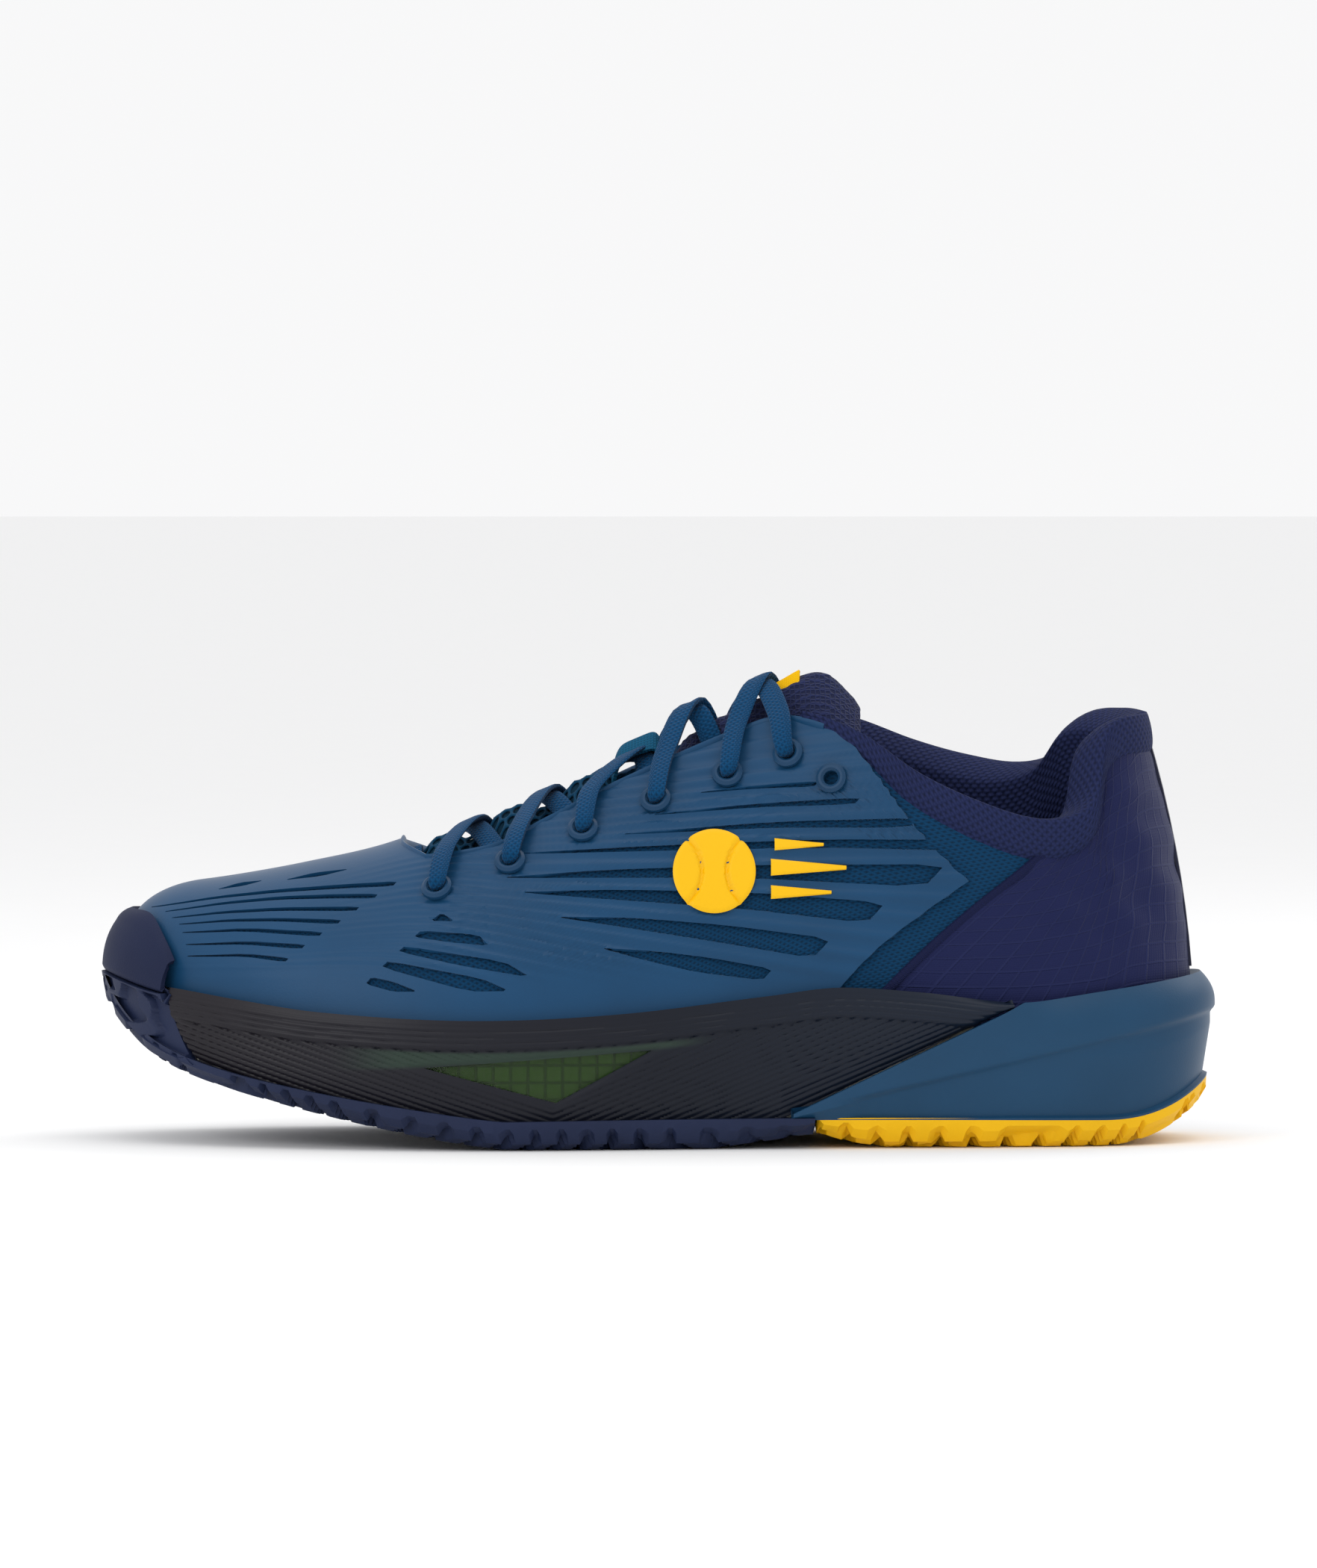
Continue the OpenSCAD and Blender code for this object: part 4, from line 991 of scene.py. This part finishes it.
def make_window():
    """The tinted lens in the outer frame and the gridded cushion behind it."""
    phi = np.linspace(turn(-66), turn(2), 120)
    low = lambda x: np.full(np.shape(x), 11.0)
    high = lambda x: np.full(np.shape(x), 27.5)
    P = wall_grid(phi, low, high, 60, lambda V, x, Z: 2.6 + 0 * V, side=LATERAL)
    lens = sheet_piece("window_lens_pane", P, None, 0)
    bm = bmesh.new()
    bm.from_mesh(lens.data)
    for p, q in zip(WINDOW, np.roll(WINDOW, -1, 0)):
        d = (q - p) / np.hypot(*(q - p))
        every = list(bm.verts) + list(bm.edges) + list(bm.faces)
        inner = p + np.array([-d[1], d[0]]) * -.05
        bmesh.ops.bisect_plane(bm, geom=every, dist=2e-6, plane_co=(inner[0] * MM, 0, inner[1] * MM),
                               plane_no=(d[1], 0, -d[0]), clear_outer=True)
    bm.to_mesh(lens.data)
    bm.free()
    wall = lens.modifiers.new("wall", "SOLIDIFY")
    wall.thickness = .8 * MM
    wall.offset = -1
    apply_all(lens)
    smooth(lens)
    finish_piece(lens, lens_plastic.material, stands_for=["window_lens"])
    P = wall_grid(phi, low, high, 40, lambda V, x, Z: 4.1 + 0 * V, side=LATERAL)
    block = sheet_piece("cushion_face", P, None, .8)
    finish_piece(block, gel.material)


def make_carrier():
    """The heel carrier: a broad cup with a facet line falling to the back and rounded shoulders."""
    a = turn(CARRIER_X + 3)
    count, rows = 320, 56
    phi = np.linspace(a, 360 - a, count)
    low = lambda x: sole_top(x) - .5
    high = lambda x: np.where(x < CARRIER_TIP, carrier_z(x), feather_z(x))

    def outside(V, x, Z):
        shoulder = 4.0 * (np.clip(V - .7, 0, 1) / .3) ** 2.2 * ease((x - 88) / 22)
        foot = 2.2 * np.maximum(0, 1 - 2 * V)
        crease = mix(11, 35, (x - 38) / 105)
        facet = 1.3 * ease((crease - Z) / 2.2) * ease((x - 45) / 12)
        return foot + shoulder + facet * (V > .02)

    P = wall_grid(phi, low, high, rows, outside)
    cup = sheet_piece("heel_cup", P, None, 2.6)
    finish_piece(cup, carrier_plastic.material, stands_for=["heel_carrier"])


def tread_height(x, y, heel):
    """Groove depth of the tread: wavy herringbone lugs, with a smooth waist."""
    zig = np.abs(((y + 200) / 9.5) % 2 - 1) * 9.5
    wave = x + zig * .9 + 1.6 * np.sin(y * .21 + x * .05)
    t = (wave / 8.2) % 1
    lug = ease((np.abs(t - .5) - .13) / .07)
    rail = ease((np.abs(((y + 200) / 19) % 1 - .5) - .04) / .03)
    lug = np.minimum(lug, rail)
    waist = 0 if heel else ease((x - 18) / 10)
    return (1 - lug) * 2.6 * (1 - waist * .7)


def make_tread(name, x0, x1, steps, heel, finish, node, edge_low, edge_high):
    """The outsole: a solid whose underside is cut into lugs that run out through its edge."""
    across = 150
    a, b = max(float(turn(x0)), 3.0), min(float(turn(x1)), 177.0)
    xs = at_turn(np.linspace(a, b, steps))
    s = np.linspace(-1, 1, across)
    s = np.sign(s) * np.abs(s) ** .92
    X = np.broadcast_to(xs[:, None], (steps, across))
    S = np.broadcast_to(s, X.shape)

    def face(inset):
        lx, ly = rim(X, np.full(X.shape, LATERAL), inset)
        ry = rim(X, np.full(X.shape, MEDIAL), inset)[1]
        return lx, mix(ly, ry, (S + 1) / 2)

    px, py = face(edge_low)
    edge = ease((np.abs(S) - .93) / .07)
    bottom = np.stack([px, py, tread_low(px) + tread_height(px, py, heel) + edge * 1.6], -1)
    tx, ty = face(edge_high)
    top = np.stack([tx, ty, sole_top(tx)], -1)
    # One ring between bottom and top gives the wall its roundness; lug cuts fade as they climb it.
    mx, my = face((edge_low + edge_high) / 2 - .8)
    mid = np.stack([mx, my, mix(bottom[..., 2], top[..., 2], .45)], -1)
    # Outline walk: lateral edge from front to back, the back end, the medial edge to the front, the front end.
    ring = [(i, 0) for i in range(steps)] + [(steps - 1, j) for j in range(1, across)]
    ring += [(i, across - 1) for i in range(steps - 2, -1, -1)] + [(0, j) for j in range(across - 2, 0, -1)]
    count = steps * across
    verts = np.concatenate([bottom.reshape(-1, 3), top.reshape(-1, 3), np.array([mid[i, j] for i, j in ring])])
    f_bottom = grid_faces(steps, across)[:, ::-1]
    coarse = grid_faces(steps, across) + count
    walls = []
    n = len(ring)
    for k in range(n):
        (i, j), (p, q) = ring[k], ring[(k + 1) % n]
        b0, b1 = i * across + j, p * across + q
        m0, m1 = 2 * count + k, 2 * count + (k + 1) % n
        walls += [[b0, b1, m1, m0], [m0, m1, b1 + count, b0 + count]]
    obj = new_mesh(name, verts, np.concatenate([f_bottom, coarse, np.array(walls)]), None)
    pick(obj)
    bpy.ops.object.mode_set(mode="EDIT")
    bpy.ops.mesh.select_all(action="SELECT")
    bpy.ops.mesh.remove_doubles(threshold=2e-5)
    bpy.ops.mesh.normals_make_consistent(inside=False)
    bpy.ops.object.mode_set(mode="OBJECT")
    smooth(obj, 30)
    return finish_piece(obj, finish.material, stands_for=[node])


def make_toe():
    """The tread's turned-up toe with its sculpted lugs, and the grained bumper above the parting line."""
    count, rows = 150, 44
    v = np.linspace(0, 1, rows)
    reach = turn(mix(-124, -132.5, v ** .6)) - .3
    phi = np.linspace(-1, 1, count)[:, None] * reach[None, :]
    side = np.where(phi >= 0, LATERAL, MEDIAL)

    def outside(V, x, Z):
        along = phi * 2.2
        swirl = np.sin(along * .30 + 2.2 * np.sin(V * 4 + along * .05)) + .6 * np.sin(V * 9 - along * .22)
        cut = ease((swirl - .15) / .25)
        return .6 * (1 - V) + 1.6 * (1 - cut) * ease(V / .06) * ease((.97 - V) / .06)

    P = wall_grid(phi, lambda x: sole_top(x) - 1, parting_z, rows, outside, side=side)
    wrap = sheet_piece("toe_wrap", P, None, 3.0)
    finish_piece(wrap, tread_rubber.material)
    # The bumper follows the toe's own surface and thins towards its top.
    rows = 30
    v = np.linspace(0, 1, rows)
    phi = np.linspace(-27.5, 27.5, 90)
    X = np.broadcast_to(at_turn(phi)[:, None], (90, rows))
    S = np.broadcast_to(np.where(phi >= 0, LATERAL, MEDIAL)[:, None], X.shape).astype(float)
    top = smooth_curve([(-150, 61.5), (-143, 60), (-136, 53), (-131, 45)], X)
    Z = mix(parting_z(X) + .15, top, v)
    base = footbed(X * SCALE)
    inner = spot(X, Z, S, -.3)
    rx, ry = rim(X, S, INSET - .3)
    low = Z <= base
    inner[..., 0] = np.where(low, rx, inner[..., 0])
    inner[..., 1] = np.where(low, ry, inner[..., 1])
    inner[..., 2] = Z
    ox, oy = rim(X, S, 0)
    shape = ((.98 - .42 * v ** 2) * np.sqrt(np.clip(1 - np.clip((v - .86) / .15, 0, 1) ** 2, 0.02, 1))
             * (1 - .12 * np.clip((.06 - v) / .06, 0, 1)))
    outer = inner.copy()
    outer[..., 0] += (ox - rx) * shape
    outer[..., 1] += (oy - ry) * shape
    outer[..., 2] += .5 * np.sin(np.clip((v - .8) / .2, 0, 1) * np.pi / 2)
    cap = sheet_piece("grained_bumper", outer, None, .0)
    wall = cap.modifiers.new("wall", "SOLIDIFY")
    wall.thickness = 1.6 * MM
    wall.offset = -1
    apply_all(cap)
    smooth(cap, 50)
    finish_piece(cap, bumper_rubber.material, stands_for=["toe_bumper"])


# ---- tongue ----------------------------------------------------------------------------
def mesh_rise(x, y):
    """How far the mesh swells up between the lace's crossings."""
    x, y = np.asarray(x, float), np.asarray(y, float)
    strands = [np.abs(x - c - way * .4 * np.abs(y)) for c in (-49, -29.5, -4.2) for way in (-1, 1)] + [np.abs(x + 66)]
    gap = np.min(strands, axis=0)
    middle = np.maximum(0, 1 - (np.abs(y) / 17) ** 2)
    return 3.4 * ease((gap - 2.6) / 3.2) * ease((x + 75) / 4) * ease((-12 - x) / 3) * middle


def make_tongue_mesh():
    """The open spacer mesh over the instep: a web of round-cornered cells over a dark backing."""
    x0, x1 = -78.0, 2.6
    cell = 3.1
    verts, faces, seen = [], [], {}

    def put(x, y):
        key = (round(x, 3), round(y, 3))
        if key not in seen:
            seen[key] = len(verts)
            verts.append((x, float(spine_y(x)) + y, float(tongue_z(x) - 5.4 + mesh_rise(x, y) - tongue_sag(x, y))))
        return seen[key]

    r = cell / math.sqrt(3)
    x = x0 + cell / 2
    while x < x1 - cell / 2:
        reach = float(tongue_half(x)) - 1.5
        j = -12
        while j <= 12:
            y = j * 1.5 * r
            cx = x + (cell / 2 if j % 2 else 0)
            if abs(y) < reach and cx < x1 - cell / 2:
                corners = [math.pi / 3 * k for k in range(6)]
                faces.append([put(cx + r * math.sin(t), y + r * math.cos(t)) for t in corners])
            j += 1
        x += cell
    web = new_mesh("spacer_web", verts, faces)
    pick(web)
    wire = web.modifiers.new("yarn", "WIREFRAME")
    wire.thickness = 1.25 * MM
    wire.use_even_offset = False
    wire.use_boundary = True
    wire.use_replace = True
    soft = web.modifiers.new("soft", "SUBSURF")
    soft.levels = soft.render_levels = 1
    apply_all(web)
    smooth(web, 80)
    finish_piece(web, open_mesh.material)
    xs = np.linspace(x0, x1, 60)
    s = np.linspace(-1, 1, 40)
    X = np.broadcast_to(xs[:, None], (60, 40))
    Y = s * tongue_half(X)
    P = np.stack([X, spine_y(X) + Y, tongue_z(X) - 6.2 + mesh_rise(X, Y) - tongue_sag(X, Y)], -1)
    back = sheet_piece("spacer_backing", P, None, 1.2)
    finish_piece(back, mesh_back.material, stands_for=["tongue_mesh"])


def make_tongue_pad():
    """The padded top of the tongue, swelled by a cloth simulation, with its label."""
    x0, x1 = 4.4, 55.0
    n, m = 40, 34
    t = np.linspace(0, 1, n)
    s = np.linspace(-1, 1, m)
    T, S = np.meshgrid(t, s, indexing="ij")
    X = mix(x0 + 3.5 * S ** 2, x1, T)
    Y = S * (tongue_half(X) - .8)
    plump = np.clip(1 - np.abs(2 * T - 1) ** 7, 0, 1) ** .5 * np.clip(1 - np.abs(S) ** 7, 0, 1) ** .5
    centre = tongue_z(X) - 1.3 - tongue_sag(X, Y) - 4
    up = np.stack([X, spine_y(X) + Y, centre + (3.4 + 2.4 * np.sin(np.pi * np.clip(T * 1.1, 0, 1)) ** .5) * plump], -1)
    down = np.stack([X, spine_y(X) + Y, centre - 3.4 * plump], -1)
    count = n * m
    f1 = grid_faces(n, m)
    f2 = grid_faces(n, m)[:, ::-1] + count
    pad = new_mesh("tongue_padding", np.concatenate([up.reshape(-1, 3), down.reshape(-1, 3)]), np.concatenate([f1, f2]))
    pick(pad)
    bpy.ops.object.mode_set(mode="EDIT")
    bpy.ops.mesh.select_all(action="SELECT")
    bpy.ops.mesh.remove_doubles(threshold=3e-4)
    bpy.ops.mesh.normals_make_consistent(inside=False)
    bpy.ops.object.mode_set(mode="OBJECT")
    remesh = pad.modifiers.new("even", "REMESH")
    remesh.mode = "VOXEL"
    remesh.voxel_size = 0.0016
    apply_all(pad)
    start = np.array([v.co[:] for v in pad.data.vertices])
    pick(pad)
    cloth = pad.modifiers.new("swell", "CLOTH")
    cloth.settings.use_pressure = True
    cloth.settings.uniform_pressure_force = 4
    cloth.settings.effector_weights.gravity = 0
    cloth.settings.quality = 5
    cloth.settings.mass = 0.3
    scene = bpy.context.scene
    for f in range(1, 21):
        scene.frame_set(f)
    held = pad.evaluated_get(bpy.context.evaluated_depsgraph_get())
    end = np.array([v.co[:] for v in held.data.vertices])
    pad.modifiers.remove(cloth)
    scene.frame_set(1)
    move = end - start
    length = np.linalg.norm(move, axis=1, keepdims=True)
    move *= np.minimum(1, .0006 / np.maximum(length, 1e-9))
    pad.data.vertices.foreach_set("co", (start + move).ravel())
    pad.data.update()
    soft = pad.modifiers.new("soft", "SUBSURF")
    soft.levels = soft.render_levels = 1
    apply_all(pad)
    smooth(pad, 80)
    finish_piece(pad, pad_knit.material, body="tongue", stands_for=["tongue_pad"])
    # A plain tab sewn on near the top.
    xs = np.linspace(31.5, 38, 24)
    ys = np.linspace(-5.5, 5.5, 30)
    X, Y = np.meshgrid(xs, ys, indexing="ij")
    P = np.stack([X, spine_y(X) + Y, tongue_z(X) + .9 - tongue_sag(X, Y)], -1)
    tab = sheet_piece("tongue_tab", P, None, .7, bevel=.15)
    finish_piece(tab, label_weave.material, body="tongue", stands_for=["tongue_label"])


# ---- laces -----------------------------------------------------------------------------
LACE_W, LACE_T = 6.0, 1.4
AGLET_R, AGLET_LENGTH = 1.7, 20
LINING_IN = 5.1
RIM_TOP = .35 + 1.6


def lip(x, side, lift):
    s = float(side)
    p = upper_point(x, s, edge_angle(x, s), 0.0)
    return p + lift * outward(x, float(topline(x, s)) - 1, side)


CROSS_X = [-49, -29.5, -4.2, 9.5, 27.5]
CROSS_LIFT = [0, 0, 0, 1.9, .6]


def crossing(k, side):
    x = CROSS_X[k]
    z = float(tongue_z(x)) - LINING_IN + (LINING_IN if x > 0 else 0) + CROSS_LIFT[k] + LACE_T / 2 + 1
    return np.array([x, float(spine_y(x)), z + (LACE_T + .5 if side == LATERAL else 0)])


def through(k, side):
    at, n = eyelet_frame(k, side)
    return (at - n * (LINING_IN - 1) / 2, 3.1, 1.8)


def above(k, side, nudge):
    at, n = eyelet_frame(k, side)
    return (at + n * (RIM_TOP + .9) + np.array([nudge, 0, .6]), LACE_W * .8, LACE_T)


def below(k, side):
    at, n = eyelet_frame(k, side)
    return (at - n * (LINING_IN + 1.6) + np.array([-.6, 0, .6]), LACE_W * .8, LACE_T)


def lace_run(side):
    over, under = LACE_T / 2 + 1.6, -LINING_IN - LACE_T / 2 - .5
    out = []
    for k in range(5):
        s = side if k % 2 == 0 else -side
        a, b = eyelet_xz(k, s)[0], eyelet_xz(k + 1, -s)[0]
        out += [through(k, s), above(k, s, .5), (lip(a + 3, s, over), LACE_W, LACE_T), (crossing(k, s), LACE_W, LACE_T)]
        if k == 4:
            out += [(lip(b - 2, -s, over), LACE_W, LACE_T), above(k + 1, -s, -.5), through(k + 1, -s)]
        else:
            out += [(lip(b - 4, -s, under), LACE_W, LACE_T), below(k + 1, -s)]
    return out


def smooth_route(points, per=7):
    """Points between the route's own, on a smooth curve through them, with widths."""
    p = np.array([[*a, w, t] for a, w, t in points])
    q = np.concatenate([[2 * p[0] - p[1]], p, [2 * p[-1] - p[-2]]])
    out = []
    for i in range(1, len(q) - 2):
        p0, p1, p2, p3 = q[i - 1], q[i], q[i + 1], q[i + 2]
        d1 = np.linalg.norm((p2 - p1)[:3])
        for u in np.linspace(0, 1, per, endpoint=False):
            m1 = (p2 - p0) / (np.linalg.norm((p2 - p0)[:3]) + 1e-9) * d1 * .9
            m2 = (p3 - p1) / (np.linalg.norm((p3 - p1)[:3]) + 1e-9) * d1 * .9
            out.append((2 * u ** 3 - 3 * u ** 2 + 1) * p1 + (u ** 3 - 2 * u ** 2 + u) * m1
                       + (-2 * u ** 3 + 3 * u ** 2) * p2 + (u ** 3 - u ** 2) * m2)
    out.append(q[-2])
    return np.array(out)


def flat_cord(name, route, across, sides=14):
    """A flat woven lace along a route: its edges are rolled and its face is slightly crowned."""
    P = route[:, :3]
    T = np.gradient(P, axis=0)
    T /= np.linalg.norm(T, axis=1, keepdims=True)
    W = across - (across * T).sum(1, keepdims=True) * T
    W /= np.linalg.norm(W, axis=1, keepdims=True)
    N = np.cross(T, W)
    t = np.linspace(0, 2 * np.pi, sides, endpoint=False)
    c, s = np.cos(t), np.sin(t)
    cx, cy = np.sign(c) * np.abs(c) ** .55, np.sign(s) * np.abs(s) ** .8
    w, th = route[:, 3:4], route[:, 4:5]
    ring = P[:, None] + W[:, None] * (cx * w / 2)[..., None] + N[:, None] * (cy * th / 2)[..., None]
    n = len(P)
    verts = ring.reshape(-1, 3)
    faces = grid_faces(n, sides, close=True)[:, ::-1]
    length = np.concatenate([[0], np.cumsum(np.linalg.norm(np.diff(P, axis=0), axis=1))])
    uv = np.stack([np.repeat(length, sides), np.tile(np.cumsum(np.abs(np.gradient(cx)) * 3), n)], -1)
    caps = [list(range(sides)), list(range((n - 1) * sides, n * sides))[::-1]]
    mesh_faces = [list(f) for f in faces] + caps
    obj = new_mesh(name, verts, mesh_faces, uv)
    pick(obj)
    bpy.ops.object.mode_set(mode="EDIT")
    bpy.ops.mesh.select_all(action="SELECT")
    bpy.ops.mesh.normals_make_consistent(inside=False)
    bpy.ops.object.mode_set(mode="OBJECT")
    smooth(obj, 60)
    return obj


def make_aglet(side_name, end, along):
    """The plastic sleeve crimped on a lace's end."""
    along = Vector([float(v) for v in along]).normalized()
    centre = (Vector([float(v) for v in end]) + along * (AGLET_LENGTH / 2 - 2.5)) * MM
    deselect()
    bpy.ops.mesh.primitive_cylinder_add(vertices=32, radius=AGLET_R * MM, depth=AGLET_LENGTH * MM, location=centre,
                                        rotation=along.to_track_quat("Z", "Y").to_euler())
    sleeve = bpy.context.object
    sleeve.name = "aglet_" + side_name
    bpy.ops.object.transform_apply(location=True, rotation=True, scale=True)
    rounding = sleeve.modifiers.new("rounding", "BEVEL")
    rounding.width, rounding.segments = .45 * MM, 3
    apply_all(sleeve)
    smooth(sleeve, 40)
    return finish_piece(sleeve, aglet_plastic.material, stands_for=["aglets"])


def make_laces():
    bar_x = -66
    left, right = lace_run(LATERAL), lace_run(MEDIAL)
    bar = [below(0, LATERAL)]
    for y in (-15, -7, 0, 7, 15):
        z = float(tongue_z(bar_x)) - LINING_IN + LACE_T / 2 + .8 - float(tongue_sag(bar_x, y))
        bar.append((np.array([bar_x, float(spine_y(bar_x)) + y, z]), LACE_W, LACE_T))
    bar.append(below(0, MEDIAL))
    route = smooth_route(left[::-1] + bar + right)
    lace = flat_cord("lace_laced", route, np.array([1, 0, .42]))
    finish_piece(lace, lace_weave.material, stands_for=["lace"])
    tail = [(30, 90), (24, 80), (12, 70), (-4, 64), (-20, 60), (-34, 58), (-41, 61.5), (-38, 67), (-26, 70),
            (-12, 73.5)]
    for side, name in ((LATERAL, "lateral"), (MEDIAL, "medial")):
        at, n = eyelet_frame(5, side)
        start = at - n * (LINING_IN - 1) / 2
        own = [start - n * .1, start - n * (LINING_IN - 1)]
        spots = [spot(float(x), float(z), float(side), LINING_IN + LACE_T / 2 + 1) for x, z in tail]
        pts = [(own[0], 3.1, 1.8), (own[1], 3.1, 1.8)] + [(p, LACE_W, LACE_T) for p in spots]
        r = smooth_route(pts, 6)
        T = np.gradient(r[:, :3], axis=0)
        wall = np.cross(spots[2] - spots[4], spots[7] - spots[4])
        wall = wall / np.linalg.norm(wall)
        wide = np.cross(wall, T)
        wide[:4] = [1, 0, 0]
        if (wide[8] * [1, 0, 0]).sum() < 0:
            wide[4:] *= -1
        piece = flat_cord("lace_end_" + name, r, wide)
        finish_piece(piece, lace_weave.material, stands_for=["lace_tail_" + name])
        tip = make_aglet(name, r[-1, :3], r[-1, :3] - r[-5, :3])


# ---- trim --------------------------------------------------------------------------------
def make_keeper():
    x0, x1, high = -13.0, 2.2, 7.4
    s = np.linspace(-1, 1, 40)
    x = mix(x0 + .5, x1 - .5, (s + 1) / 2)
    ys = np.linspace(-4.4, 4.4, 9)
    X, Y = np.broadcast_to(x[:, None], (40, 9)), np.broadcast_to(ys, (40, 9))
    arch = 1 - np.abs(np.broadcast_to(s[:, None], X.shape)) ** 6
    Z = tongue_z(X) - LINING_IN + .1 + (high - .2) * arch - tongue_sag(X, Y)
    P = np.stack([X, spine_y(X) + Y, Z], -1)
    strap = sheet_piece("lace_keeper_strap", P, None, .9)
    finish_piece(strap, webbing.material, stands_for=["lace_keeper"])


def make_emblem():
    """A ball with two seams and three trailing bars, raised on both sides."""
    bx, bz, r = 15.0, 73.0, 11.0
    for side, name in ((LATERAL, "lateral"), (MEDIAL, "medial")):
        rings, spokes = 26, 72
        rr = np.linspace(0, 1, rings)[:, None] * r
        tt = np.linspace(0, 2 * np.pi, spokes, endpoint=False)[None, :]
        x, z = bx + rr * np.cos(tt), bz + rr * np.sin(tt)
        X = x / SCALE
        u, w = (x - bx) / r, (z - bz) / r
        seam = np.minimum(np.abs(np.hypot(u - 1.25, w) - .95), np.abs(np.hypot(u + 1.25, w) - .95))
        groove = 1 - ease((seam - .03) / .035)
        edge = ease((rr / r - .93) / .07)
        P = spot(X, z, np.full(X.shape, side, float), -.95 + .7 * groove + .35 * edge)
        if side == MEDIAL:
            P = P[:, ::-1]
        ball = sheet_piece("ball_emblem_" + name, P, None, .9, close=True)
        finish_piece(ball, emblem_film.material, stands_for=["side_emblem"])
        for k, (z0, half, xa, xb) in enumerate([(80, 1.6, 31, 44), (74, 2.2, 30, 50), (67.5, 1.8, 30, 46)]):
            t = np.linspace(0, 1, 24)[:, None]
            c = np.linspace(-1, 1, 9)[None, :]
            h = half * mix(1, .25, t)
            xx = mix(xa, xb, t) + 0 * c
            zz = z0 + c * h - side * 0
            P = spot(xx / SCALE, zz, np.full(xx.shape, side, float), -.95 + .3 * ease((np.abs(c) - .8) / .2) + 0 * xx)
            if side == MEDIAL:
                P = P[:, ::-1]
            bar = sheet_piece("trail_bar_%s_%d" % (name, k + 1), P, None, .8)
            finish_piece(bar, emblem_film.material)


def dress_cad():
    """Finishes for the CAD pieces that stay."""
    finishes = {"eyelets_lateral": ring_plastic, "eyelets_medial": ring_plastic, "heel_strip": strip_plastic,
                "midsole_core": foam, "insole_board": board, "shank_plate": plate_plastic, "heel_cushion": gel,
                "forefoot_cushion": gel, "toe_puff": board, "heel_counter": board, "sockliner": liner_knit}
    for node, finish in finishes.items():
        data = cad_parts[node].data
        data.materials.clear()
        data.materials.append(finish.material)
        smooth(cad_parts[node], 35)


for make in (make_laces, make_skin, make_textile, make_heel_quarter, make_binding, make_seams, make_collar, make_lining,
             make_side_frames, make_window, make_carrier):
    make()
make_tread("tread_forefoot", -150, 42, 260, False, tread_rubber, "outsole_forefoot", 3.0, .6)
make_tread("tread_heel", 43.4, 150, 130, True, yellow_rubber, "outsole_heel", 4.0, 2.2)
for make in (make_toe, make_tongue_mesh, make_tongue_pad, make_keeper, make_emblem, dress_cad):
    make()

# ---- floor and light ------------------------------------------------------------------------
deselect()
bpy.ops.mesh.primitive_plane_add(size=30, location=(0, 0, -.0002))
floor = bpy.context.object
floor.name = "studio_floor"
bpy.ops.object.transform_apply(location=True)
paper = grained("studio_paper", (0.935, 0.935, 0.935), 0.95, 0.2, 0.01, 0.995)
floor.data.materials.append(paper.material)

world = bpy.data.worlds.new("studio")
bpy.context.scene.world = world
world.use_nodes = True
sky = world.node_tree.nodes["Background"]
sky.inputs["Color"].default_value = (0.94, 0.94, 0.945, 1)
sky.inputs["Strength"].default_value = 1.0


def lamp(name, at, power, size, aim_at=(0, 0, .05)):
    light = bpy.data.lights.new(name, "AREA")
    light.energy = power
    light.size = size
    obj = bpy.data.objects.new(name, light)
    bpy.context.scene.collection.objects.link(obj)
    obj.location = at
    obj.rotation_euler = (Vector(aim_at) - Vector(at)).to_track_quat("-Z", "Y").to_euler()


lamp("top_softbox", (0.0, -.2, 1.3), 3, 1.0)
lamp("front_softbox", (-.9, -1.2, .9), 4, .6)
lamp("rear_softbox", (.9, .6, .9), 3, .8)
